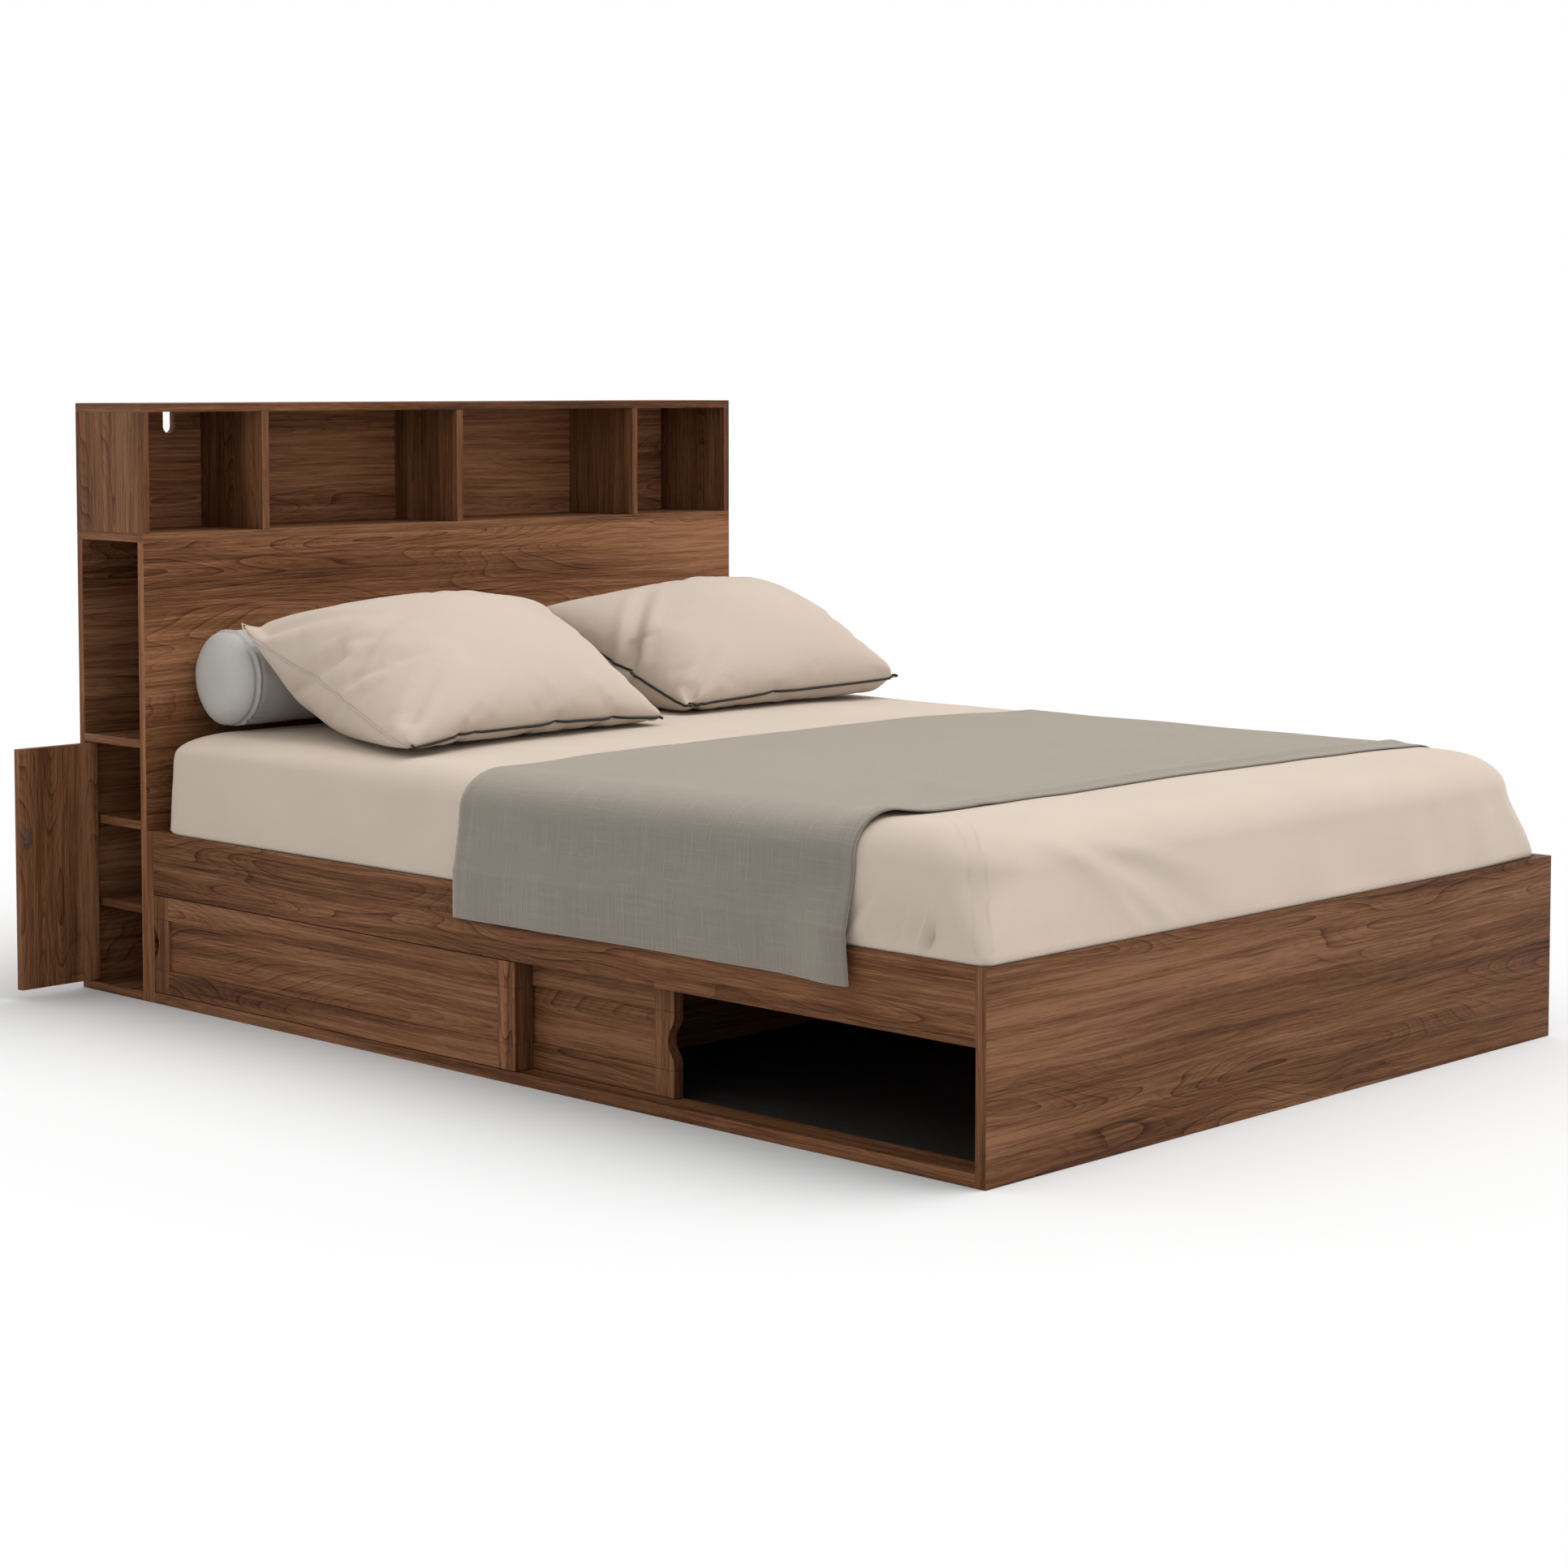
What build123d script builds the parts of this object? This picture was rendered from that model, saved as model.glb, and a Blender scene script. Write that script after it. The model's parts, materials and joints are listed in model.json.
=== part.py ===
"""Queen-size platform bed with sliding-door storage bays and a storage headboard.

Frame: millimetres, +Z up, foot towards -Y, headboard towards +Y, X = 0 on the centreline.
The origin is on the floor at the middle of the footprint. Left is the -X side. The left
cabinet door stands open and the left inner sliding door stands part of the way along.
"""
from build123d import *
import os

# ---------------------------------------------------------------- driving dimensions
WIDTH = 1560.0
BASE_LENGTH = 2079.0
BASE_HEIGHT = 326.0
HEAD_DEPTH = 217.0
HEAD_HEIGHT = 1132.0
BASE_BOARD = 20.0            # thickness of the base boards and of the sliding doors
PANEL = 16.0                 # thickness of the headboard boards
FRONT_PANEL = 18.0           # thickness of the headboard's front panel
EASE = 0.6                   # arris taken off every visible board edge

TRACK_TOP = 20.0
TRACK_WIDTH = 62.0
RAIL_LOW = 207.0             # underside of the side rails and of the guide rails
GROOVE_WIDTH = 6.4
TRACK_GROOVE_DEPTH = 8.0
GUIDE_GROOVE_DEPTH = 12.0
GUIDE_RAIL_FLANGE = 22.0     # height of the grooved flange of a guide rail
LEDGER_WIDTH = 25.0          # width of the part of the guide rail that carries the slats
SLAT_BOTTOM = 262.0
FLOOR_PANEL = 16.0
CROSS_Y_FROM_FOOT = 985.0

DOOR_LENGTH = 1028.0
DOOR_END_GAP = 1.0
DOOR_LOW = 21.5
DOOR_HIGH = 205.5
DOOR_LANE_STEP = 41.0        # from the outer door's plane to the inner door's plane
RAIL_WIDTH = 44.0
STILE_WIDTH = 45.0
JOINT_LINE = 0.2             # hairline between a stile and the rails
PANEL_RECESS = 6.0
DOOR_PANEL = 8.0
PANEL_TONGUE = 7.0
GRIP_LENGTH = 85.0
GRIP_DEPTH = 15.0
INNER_LEFT_FROM_FOOT = 690.0  # where the left inner door stands at rest
BATTEN = 16.0
BATTEN_CLEAR = 1.0           # air between the batten and the inner door
GLIDE_INSET = 120.0          # from a door's end to the middle of its glides

SLAT_COUNT = 14
SLAT_WIDTH = 70.0
SLAT_THICK = 18.0
SCREW_RADIUS = 2.0
SCREW_HEAD_RADIUS = 4.0
SCREW_LENGTH = 32.0

CUBBY_FLOOR_Z = 871.0
CUBBY_DIVIDER_X = 492.5
NICHE_SHELF_Z = 481.0
SLOT_X = 575.5
SLOT_WIDTH = 27.0
SLOT_DEPTH = 44.0

CABINET_DOOR_GAP = 3.5
CABINET_DOOR_LOW = 18.5
CABINET_DOOR_HIGH = 478.5
PIVOT_FROM_FACE = 7.5
PIVOT_FROM_EDGE = 8.0
PIN_RADIUS = 2.5
BUSH_BORE = 2.55
BUSH_RADIUS = 5.0
BUSH_SUNK = 10.0
FLANGE_RADIUS = 7.0
FLANGE_THICK = 1.5
PIN_IN_DOOR = 15.0
PIN_IN_BUSH = 8.5
SHELF_SETBACK = 24.0
SHELF_PIN_RADIUS = 2.5
SHELF_PIN_HALF = 8.0
CATCH_Z = (293.0, 318.0)
STRIKE_WIDTH = 17.0
STRIKE_HEIGHT = 35.0
STRIKE_THICK = 1.5
STRIKE_Z = 309.0
STRIKE_INSET = 8.0

MATTRESS_BOTTOM = 280.0
MATTRESS_TOP = 520.0
MATTRESS_CORNER = 55.0
CLEAR = 2.0                  # air left around the soft pieces

# ---------------------------------------------------------------- derived places
LENGTH = BASE_LENGTH + HEAD_DEPTH
HALF = WIDTH / 2
FOOT = -LENGTH / 2
BASE_HEAD = FOOT + BASE_LENGTH           # front face of the headboard
REAR = LENGTH / 2
BAY_FOOT = FOOT + BASE_BOARD             # ends of the door openings
BAY_HEAD = BASE_HEAD - BASE_BOARD
TRACK_INNER = HALF - TRACK_WIDTH
OUTER_LANE = HALF - BASE_BOARD / 2       # middle plane of the outer sliding doors
INNER_LANE = OUTER_LANE - DOOR_LANE_STEP
CROSS_Y = FOOT + CROSS_Y_FROM_FOOT
FRONT_BACK = BASE_HEAD + FRONT_PANEL     # inner face of the front panel
BACK_FRONT = REAR - PANEL                # inner face of the back panel
CUBBY_BOTTOM = CUBBY_FLOOR_Z + PANEL
TOP_LOW = HEAD_HEIGHT - PANEL
NICHE_WALL = (CUBBY_DIVIDER_X - PANEL / 2, CUBBY_DIVIDER_X + PANEL / 2)
PIVOT_X = HALF - PIVOT_FROM_FACE
PIVOT_Y = BACK_FRONT - CABINET_DOOR_GAP - PIVOT_FROM_EDGE
CABINET_DOOR_WIDTH = BACK_FRONT - FRONT_BACK - 2 * CABINET_DOOR_GAP
SHELF_STEP = (NICHE_SHELF_Z - PANEL - 2 * PANEL) / 3 + PANEL
SHELF_Z = (PANEL + SHELF_STEP - PANEL, PANEL + 2 * SHELF_STEP - PANEL)
SHELF_PIN_X = (HALF - 40.0, NICHE_WALL[1] + 19.0)
SLAT_PITCH = (BAY_HEAD - BAY_FOOT - SLAT_WIDTH - 40.0) / (SLAT_COUNT - 1)
SLAT_FIRST = BAY_FOOT + 20.0 + SLAT_WIDTH / 2
SLAT_Y = [SLAT_FIRST + i * SLAT_PITCH for i in range(SLAT_COUNT)]
SCREW_X = HALF - BASE_BOARD - LEDGER_WIDTH / 2

LEFT, RIGHT = -1, 1
SIDE_NAMES = {LEFT: "left", RIGHT: "right"}

os.makedirs("parts", exist_ok=True)


def save(piece, name):
    """Label a finished piece and write it as its own STEP file."""
    piece.label = name
    export_step(piece, f"parts/{name}.step")


def flip(side, near, far):
    """The two X limits, in rising order, of a stretch given by its distances from the centreline."""
    return tuple(sorted((side * near, side * far)))


def rectangle(x, y, z):
    """A rectangle from x[0] to x[1] and from y[0] to y[1], lying at height z."""
    with BuildSketch(Plane.XY.offset(z)) as outline:
        with Locations(((x[0] + x[1]) / 2, (y[0] + y[1]) / 2)):
            Rectangle(x[1] - x[0], y[1] - y[0])
    return outline.sketch


def board(x, y, z):
    """A plain board between the given limits, with eased arrises."""
    with BuildPart() as plain:
        extrude(rectangle(x, y, z[0]), amount=z[1] - z[0])
        chamfer(plain.edges(), EASE)
    return plain.part


# ---------------------------------------------------------------- base: boards
bay = (BAY_FOOT, BAY_HEAD)
full = (-HALF, HALF)

save(board(full, (FOOT, BAY_FOOT), (0, BASE_HEIGHT)), "footboard")
save(board(full, (BAY_HEAD, BASE_HEAD), (0, BASE_HEIGHT)), "head_panel")

for side, name in SIDE_NAMES.items():
    # The side rail closes the top of the bay, and its lower edge guides the outer door.
    with BuildPart() as side_rail:
        extrude(rectangle(flip(side, HALF - BASE_BOARD, HALF), bay, RAIL_LOW), amount=BASE_HEIGHT - RAIL_LOW)
        chamfer(side_rail.edges(), EASE)
        lane = flip(side, OUTER_LANE - GROOVE_WIDTH / 2, OUTER_LANE + GROOVE_WIDTH / 2)
        extrude(rectangle(lane, bay, RAIL_LOW), amount=GUIDE_GROOVE_DEPTH, mode=Mode.SUBTRACT)
    save(side_rail.part, f"side_rail_{name}")

    # The guide rail is an L: its flange guides the inner door, its web carries the slats.
    with BuildPart() as guide_rail:
        flange = flip(side, TRACK_INNER, HALF - BASE_BOARD)
        extrude(rectangle(flange, bay, RAIL_LOW), amount=GUIDE_RAIL_FLANGE)
        web = flip(side, HALF - BASE_BOARD - LEDGER_WIDTH, HALF - BASE_BOARD)
        extrude(rectangle(web, bay, RAIL_LOW), amount=SLAT_BOTTOM - RAIL_LOW)
        lane = flip(side, INNER_LANE - GROOVE_WIDTH / 2, INNER_LANE + GROOVE_WIDTH / 2)
        extrude(rectangle(lane, bay, RAIL_LOW), amount=GUIDE_GROOVE_DEPTH, mode=Mode.SUBTRACT)
        with Locations([(side * SCREW_X, y, SLAT_BOTTOM) for y in SLAT_Y]):
            Hole(radius=SCREW_RADIUS, depth=SCREW_LENGTH - SLAT_THICK)
    save(guide_rail.part, f"guide_rail_{name}")

    # The bottom track lies on the floor and has one groove for each door.
    with BuildPart() as bottom_track:
        extrude(rectangle(flip(side, TRACK_INNER, HALF), bay, 0), amount=TRACK_TOP)
        chamfer(bottom_track.edges(), EASE)
        for lane_x in (OUTER_LANE, INNER_LANE):
            lane = flip(side, lane_x - GROOVE_WIDTH / 2, lane_x + GROOVE_WIDTH / 2)
            groove = rectangle(lane, bay, TRACK_TOP)
            extrude(groove, amount=-TRACK_GROOVE_DEPTH, mode=Mode.SUBTRACT)
    save(bottom_track.part, f"bottom_track_{name}")

    floor_x = flip(side, PANEL / 2, TRACK_INNER)
    save(board(floor_x, bay, (0, FLOOR_PANEL)), f"floor_panel_{name}")

divider_x = (-PANEL / 2, PANEL / 2)
save(board(divider_x, (BAY_FOOT, CROSS_Y), (0, SLAT_BOTTOM)), "centre_divider_foot")
save(board(divider_x, (CROSS_Y + PANEL, BAY_HEAD), (0, SLAT_BOTTOM)), "centre_divider_head")
cross_x = (-TRACK_INNER, TRACK_INNER)
save(board(cross_x, (CROSS_Y, CROSS_Y + PANEL), (FLOOR_PANEL, SLAT_BOTTOM)), "cross_partition")

# ---------------------------------------------------------------- base: slats and fastenings
with BuildPart() as bed_slats:
    slat_x = (CLEAR - HALF + BASE_BOARD, HALF - BASE_BOARD - CLEAR)
    for y in SLAT_Y:
        extrude(rectangle(slat_x, (y - SLAT_WIDTH / 2, y + SLAT_WIDTH / 2), SLAT_BOTTOM), amount=SLAT_THICK)
    with Locations([(side * SCREW_X, y, SLAT_BOTTOM + SLAT_THICK) for y in SLAT_Y for side in (LEFT, RIGHT)]):
        CounterSinkHole(radius=SCREW_RADIUS, counter_sink_radius=SCREW_HEAD_RADIUS, depth=SLAT_THICK)
save(bed_slats.part, "bed_slats")

with BuildPart() as one_screw:
    head = SCREW_HEAD_RADIUS - SCREW_RADIUS
    with BuildSketch(Plane.XZ):
        with BuildLine():
            Polyline((0, 0), (SCREW_HEAD_RADIUS, 0), (SCREW_RADIUS, -head), (SCREW_RADIUS, -SCREW_LENGTH + 3),
                     (0, -SCREW_LENGTH), close=True)
        make_face()
    revolve(axis=Axis.Z)
with BuildPart() as slat_screws:
    with Locations([(side * SCREW_X, y, SLAT_BOTTOM + SLAT_THICK) for y in SLAT_Y for side in (LEFT, RIGHT)]):
        add(one_screw.part)
save(slat_screws.part, "slat_screws")

# Four steel angles tie the guide rails to the footboard and to the head panel.
BRACKET_LEG, BRACKET_THICK = 40.0, 3.0
with BuildPart() as corner_brackets:
    corner_x = HALF - BASE_BOARD - LEDGER_WIDTH
    for side in (LEFT, RIGHT):
        for y, inward in ((BAY_FOOT, 1), (BAY_HEAD, -1)):
            along_rail = tuple(sorted((y, y + inward * BRACKET_LEG)))
            across = tuple(sorted((y, y + inward * BRACKET_THICK)))
            low = RAIL_LOW + GUIDE_RAIL_FLANGE + CLEAR
            high = SLAT_BOTTOM - CLEAR
            for reach, y_limits in ((BRACKET_THICK, along_rail), (BRACKET_LEG, across)):
                leg = rectangle(flip(side, corner_x - reach, corner_x), y_limits, low)
                extrude(leg, amount=high - low)
save(corner_brackets.part, "corner_brackets")

# ---------------------------------------------------------------- headboard: case boards
depth = (BASE_HEAD, REAR)
inside = (FRONT_BACK, BACK_FRONT)

shelf_pin_points = [
    (side * x, z - SHELF_PIN_RADIUS) for side in (LEFT, RIGHT) for x in SHELF_PIN_X for z in SHELF_Z
]

for name, y_low, y_high, face_y, inward in (
    ("headboard_front", BASE_HEAD, FRONT_BACK, FRONT_BACK, -1),
    ("headboard_back", BACK_FRONT, REAR, BACK_FRONT, 1),
):
    with BuildPart() as tall_panel:
        extrude(rectangle(full, (y_low, y_high), 0), amount=CUBBY_FLOOR_Z)
        chamfer(tall_panel.edges(), EASE)
        # Blind holes take the shelf pins. The plane's normal points into the board.
        pin_plane = Plane(origin=(0, face_y, 0), x_dir=(1, 0, 0), z_dir=(0, inward, 0))
        with BuildSketch(pin_plane):
            with Locations([pin_plane.to_local_coords(Vector(x, face_y, z)) for x, z in shelf_pin_points]):
                Circle(SHELF_PIN_RADIUS)
        extrude(amount=SHELF_PIN_HALF, mode=Mode.SUBTRACT)
    save(tall_panel.part, name)

save(board(full, depth, (CUBBY_FLOOR_Z, CUBBY_BOTTOM)), "cubby_floor")
save(board(full, depth, (TOP_LOW, HEAD_HEIGHT)), "headboard_top")

# The back of the cubbies has a cable slot near each end, open at the top and round below.
with BuildPart() as cubby_back:
    between_ends = rectangle((PANEL - HALF, HALF - PANEL), (BACK_FRONT, REAR), CUBBY_BOTTOM)
    extrude(between_ends, amount=TOP_LOW - CUBBY_BOTTOM)
    chamfer(cubby_back.edges(), EASE)
    with BuildSketch(Plane.XZ.offset(-REAR)):
        for x in (-SLOT_X, SLOT_X):
            with Locations((x, TOP_LOW - (SLOT_DEPTH - SLOT_WIDTH / 2) / 2)):
                Rectangle(SLOT_WIDTH, SLOT_DEPTH - SLOT_WIDTH / 2)
            with Locations((x, TOP_LOW - SLOT_DEPTH + SLOT_WIDTH / 2)):
                Circle(SLOT_WIDTH / 2)
    extrude(amount=PANEL, mode=Mode.SUBTRACT)
save(cubby_back.part, "cubby_back")

cubby_z = (CUBBY_BOTTOM, TOP_LOW)
for name, x in (("left", -CUBBY_DIVIDER_X), ("centre", 0.0), ("right", CUBBY_DIVIDER_X)):
    divider = board((x - PANEL / 2, x + PANEL / 2), (BASE_HEAD, BACK_FRONT), cubby_z)
    save(divider, f"cubby_divider_{name}")

for side, name in SIDE_NAMES.items():
    save(board(flip(side, HALF - PANEL, HALF), depth, cubby_z), f"end_panel_{name}")
    save(board(flip(side, *NICHE_WALL), inside, (0, CUBBY_FLOOR_Z)), f"niche_wall_{name}")

    compartment_x = flip(side, NICHE_WALL[1], HALF)
    pivot = (side * PIVOT_X, PIVOT_Y)
    with BuildPart() as niche_shelf:
        extrude(rectangle(compartment_x, inside, NICHE_SHELF_Z), amount=PANEL)
        chamfer(niche_shelf.edges(), EASE)
        with BuildSketch(Plane.XY.offset(NICHE_SHELF_Z)):
            with Locations(pivot):
                Circle(BUSH_RADIUS)
        extrude(amount=BUSH_SUNK, mode=Mode.SUBTRACT)
    save(niche_shelf.part, f"niche_shelf_{name}")

    with BuildPart() as cabinet_base:
        extrude(rectangle(compartment_x, inside, 0), amount=PANEL)
        chamfer(cabinet_base.edges(), EASE)
        with BuildSketch(Plane.XY.offset(PANEL)):
            with Locations(pivot):
                Circle(BUSH_RADIUS)
        extrude(amount=-BUSH_SUNK, mode=Mode.SUBTRACT)
    save(cabinet_base.part, f"cabinet_base_{name}")

    with BuildPart() as cabinet_shelves:
        shelf_x = flip(side, NICHE_WALL[1], HALF - SHELF_SETBACK)
        for z in SHELF_Z:
            extrude(rectangle(shelf_x, inside, z), amount=PANEL)
        chamfer(cabinet_shelves.edges(), EASE)
    save(cabinet_shelves.part, f"cabinet_shelves_{name}")

# ---------------------------------------------------------------- headboard: fittings
with BuildPart() as shelf_pins:
    for face_y in (FRONT_BACK, BACK_FRONT):
        pin_plane = Plane(origin=(0, face_y, 0), x_dir=(1, 0, 0), z_dir=(0, -1, 0))
        with BuildSketch(pin_plane):
            with Locations([pin_plane.to_local_coords(Vector(x, face_y, z)) for x, z in shelf_pin_points]):
                Circle(SHELF_PIN_RADIUS)
        extrude(amount=SHELF_PIN_HALF, both=True)
save(shelf_pins.part, "shelf_pins")

catch_front = HALF - PANEL - STRIKE_THICK - 0.4
strike_y = FRONT_BACK + CABINET_DOOR_GAP + STRIKE_INSET
with BuildPart() as magnet_catches:
    for side in (LEFT, RIGHT):
        catch_x = flip(side, catch_front - 14.0, catch_front)
        catch_y = (FRONT_BACK, strike_y + STRIKE_WIDTH)
        extrude(rectangle(catch_x, catch_y, CATCH_Z[0]), amount=CATCH_Z[1] - CATCH_Z[0])
save(magnet_catches.part, "magnet_catches")

# A flanged bush sits in the cabinet base and another, upside down, in the shelf above.
with BuildPart() as one_bush:
    with BuildSketch(Plane.XZ):
        with BuildLine():
            Polyline((BUSH_BORE, -BUSH_SUNK), (BUSH_RADIUS, -BUSH_SUNK), (BUSH_RADIUS, 0), (FLANGE_RADIUS, 0),
                     (FLANGE_RADIUS, FLANGE_THICK), (BUSH_BORE, FLANGE_THICK), close=True)
        make_face()
    revolve(axis=Axis.Z)
with BuildPart() as pivot_bushes:
    for side in (LEFT, RIGHT):
        with Locations(Location((side * PIVOT_X, PIVOT_Y, PANEL))):
            add(one_bush.part)
        with Locations(Location((side * PIVOT_X, PIVOT_Y, NICHE_SHELF_Z), (180, 0, 0))):
            add(one_bush.part)
save(pivot_bushes.part, "pivot_bushes")


# ---------------------------------------------------------------- hinged cabinet doors
def cabinet_door(side, opened):
    """The door, its steel strike plate and its two pivot pins.

    Each is made closed, flush with the headboard's end, then turned outward by the opened
    angle about the pivot axis, which stands near the back edge.
    """
    name = SIDE_NAMES[side]
    edge = PIVOT_Y + PIVOT_FROM_EDGE
    door_x = flip(side, HALF - PANEL, HALF)
    door_y = (edge - CABINET_DOOR_WIDTH, edge)
    with BuildPart() as door:
        extrude(rectangle(door_x, door_y, CABINET_DOOR_LOW), amount=CABINET_DOOR_HIGH - CABINET_DOOR_LOW)
        chamfer(door.edges(), EASE)
        for z, into in ((CABINET_DOOR_LOW, 1), (CABINET_DOOR_HIGH, -1)):
            with BuildSketch(Plane.XY.offset(z)):
                with Locations((side * PIVOT_X, PIVOT_Y)):
                    Circle(PIN_RADIUS)
            extrude(amount=into * PIN_IN_DOOR, mode=Mode.SUBTRACT)

    with BuildPart() as strike:
        strike_x = flip(side, HALF - PANEL - STRIKE_THICK, HALF - PANEL)
        low = STRIKE_Z - STRIKE_HEIGHT / 2
        extrude(rectangle(strike_x, (strike_y, strike_y + STRIKE_WIDTH), low), amount=STRIKE_HEIGHT)
        chamfer(strike.edges().filter_by(Axis.X), 2.0)

    with BuildPart() as pins:
        for z, out in ((CABINET_DOOR_LOW, -1), (CABINET_DOOR_HIGH, 1)):
            with BuildSketch(Plane.XY.offset(z - out * PIN_IN_DOOR)):
                with Locations((side * PIVOT_X, PIVOT_Y)):
                    Circle(PIN_RADIUS)
            extrude(amount=out * (PIN_IN_DOOR + PIN_IN_BUSH))

    axis = Axis((side * PIVOT_X, PIVOT_Y, 0), (0, 0, 1))
    for piece, label in ((door, "cabinet_door"), (strike, "strike_plate"), (pins, "pivot_pins")):
        save(piece.part.rotate(axis, side * opened), f"{label}_{name}")


cabinet_door(LEFT, opened=90.0)
cabinet_door(RIGHT, opened=0.0)


# ---------------------------------------------------------------- sliding doors
def degrees_of(rise, run):
    """The slope angle, in degrees, of a rise over a run."""
    return Vector(run, 0).get_angle(Vector(run, rise))


def sliding_door(side, lane, foot_end, grip_at_head, battened, name):
    """One frame-and-panel door with a scalloped finger grip, and the glides that carry it."""
    head_end = foot_end + DOOR_LENGTH
    x_low, x_high = flip(side, lane - BASE_BOARD / 2, lane + BASE_BOARD / 2)
    stile_low = DOOR_LOW + RAIL_WIDTH
    stile_high = DOOR_HIGH - RAIL_WIDTH
    panel_face = lane + BASE_BOARD / 2 - PANEL_RECESS
    panel_x = flip(side, panel_face - DOOR_PANEL, panel_face)
    panel_y = (foot_end + STILE_WIDTH - PANEL_TONGUE, head_end - STILE_WIDTH + PANEL_TONGUE)
    panel_z = (stile_low - PANEL_TONGUE, stile_high + PANEL_TONGUE)

    # The scallop is three tangent arcs: it eases off the edge, swings in and eases back.
    turn = 2 * degrees_of(GRIP_DEPTH, GRIP_LENGTH / 2)
    radius = ((GRIP_LENGTH / 2) ** 2 + GRIP_DEPTH**2) / (4 * GRIP_DEPTH)
    grip_edge = head_end if grip_at_head else foot_end
    into = 1 if grip_at_head else -1
    with BuildSketch(Plane.YZ.offset(x_low)) as grip:
        with BuildLine():
            start = (grip_edge, (DOOR_LOW + DOOR_HIGH - GRIP_LENGTH) / 2)
            first = JernArc(start, (0, 1), radius, into * turn)
            middle = JernArc(first @ 1, first % 1, radius, -2 * into * turn)
            last = JernArc(middle @ 1, middle % 1, radius, into * turn)
            Line(last @ 1, start)
        make_face()

    with BuildPart() as frame:
        x = (x_low, x_high)
        for low in (DOOR_LOW, DOOR_HIGH - RAIL_WIDTH):
            extrude(rectangle(x, (foot_end, head_end), low), amount=RAIL_WIDTH)
        for low in (foot_end, head_end - STILE_WIDTH):
            height = stile_high - stile_low - 2 * JOINT_LINE
            extrude(rectangle(x, (low, low + STILE_WIDTH), stile_low + JOINT_LINE), amount=height)
        chamfer(frame.edges(), EASE)
        extrude(rectangle(panel_x, panel_y, panel_z[0]), amount=panel_z[1] - panel_z[0], mode=Mode.SUBTRACT)
        extrude(grip.sketch, amount=BASE_BOARD, mode=Mode.SUBTRACT)
        if battened:
            # A batten behind the foot end of the outer door fills the gap to the inner one.
            door_back = lane - BASE_BOARD / 2
            inner_face = lane + BASE_BOARD / 2 - DOOR_LANE_STEP
            gap_x = flip(side, inner_face + BATTEN_CLEAR, door_back - JOINT_LINE)
            extrude(rectangle(gap_x, (foot_end, foot_end + BATTEN), DOOR_LOW), amount=DOOR_HIGH - DOOR_LOW)
    save(frame.part, f"{name}_frame")

    with BuildPart() as infill:
        extrude(rectangle(panel_x, panel_y, panel_z[0]), amount=panel_z[1] - panel_z[0])
    save(infill.part, f"{name}_panel")

    # Two runners stand in the track's groove and two guide pegs stand in the groove above.
    with BuildPart() as glides:
        runner_x = flip(side, lane - GROOVE_WIDTH / 2 + 0.5, lane + GROOVE_WIDTH / 2 - 0.5)
        for y in (foot_end + GLIDE_INSET, head_end - GLIDE_INSET):
            low = TRACK_TOP - TRACK_GROOVE_DEPTH + 0.5
            extrude(rectangle(runner_x, (y - 15, y + 15), low), amount=DOOR_LOW - low)
            extrude(rectangle(runner_x, (y - 8, y + 8), DOOR_HIGH), amount=GUIDE_GROOVE_DEPTH - 2.0)
    save(glides.part, f"{name}_glides")


FOOT_END_CLOSED = BAY_FOOT + DOOR_END_GAP
HEAD_END_CLOSED = BAY_HEAD - DOOR_END_GAP - DOOR_LENGTH
for side, name in SIDE_NAMES.items():
    sliding_door(side, OUTER_LANE, HEAD_END_CLOSED, True, True, f"outer_door_{name}")
sliding_door(LEFT, INNER_LANE, FOOT + INNER_LEFT_FROM_FOOT, False, False, "inner_door_left")
sliding_door(RIGHT, INNER_LANE, FOOT_END_CLOSED, False, False, "inner_door_right")

# ---------------------------------------------------------------- bedding
# The mattress drops between the rails and swells out over their top edges.
with BuildPart() as mattress:
    lip = BASE_HEIGHT + CLEAR
    with BuildSketch(Plane.XY.offset(MATTRESS_BOTTOM)):
        with Locations((0, (BAY_FOOT + BAY_HEAD) / 2)):
            RectangleRounded(WIDTH - 2 * BASE_BOARD - 2 * CLEAR, BAY_HEAD - BAY_FOOT - 8.0, MATTRESS_CORNER)
    extrude(amount=lip - MATTRESS_BOTTOM)
    top_y = (FOOT + 4.0, BAY_HEAD - 5.0)
    with BuildSketch(Plane.XY.offset(lip)):
        with Locations((0, sum(top_y) / 2)):
            RectangleRounded(WIDTH - 8.0, top_y[1] - top_y[0], MATTRESS_CORNER)
    extrude(amount=MATTRESS_TOP - lip)
    fillet(mattress.faces().sort_by(Axis.Z)[-1].edges(), 45.0)
save(mattress.part, "mattress")

# A throw lies across the lower half and hangs down over both side rails.
THROW_Y = (FOOT + 240.0, FOOT + 1135.0)
THROW_HEM = 270.0
THROW_THICK = 4.0
with BuildPart() as throw:
    with BuildSketch(Plane.XZ.offset(-THROW_Y[0])):
        with BuildLine():
            drop_x = HALF + CLEAR + THROW_THICK / 2
            ridge = MATTRESS_TOP + THROW_THICK / 2 + 1.0
            hem_left, hem_right = (-drop_x, THROW_HEM), (drop_x, THROW_HEM)
            FilletPolyline(hem_left, (-drop_x, ridge), (drop_x, ridge), hem_right, radius=48.0)
        trace(line_width=THROW_THICK)
    extrude(amount=THROW_Y[0] - THROW_Y[1])
save(throw.part, "throw")

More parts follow.
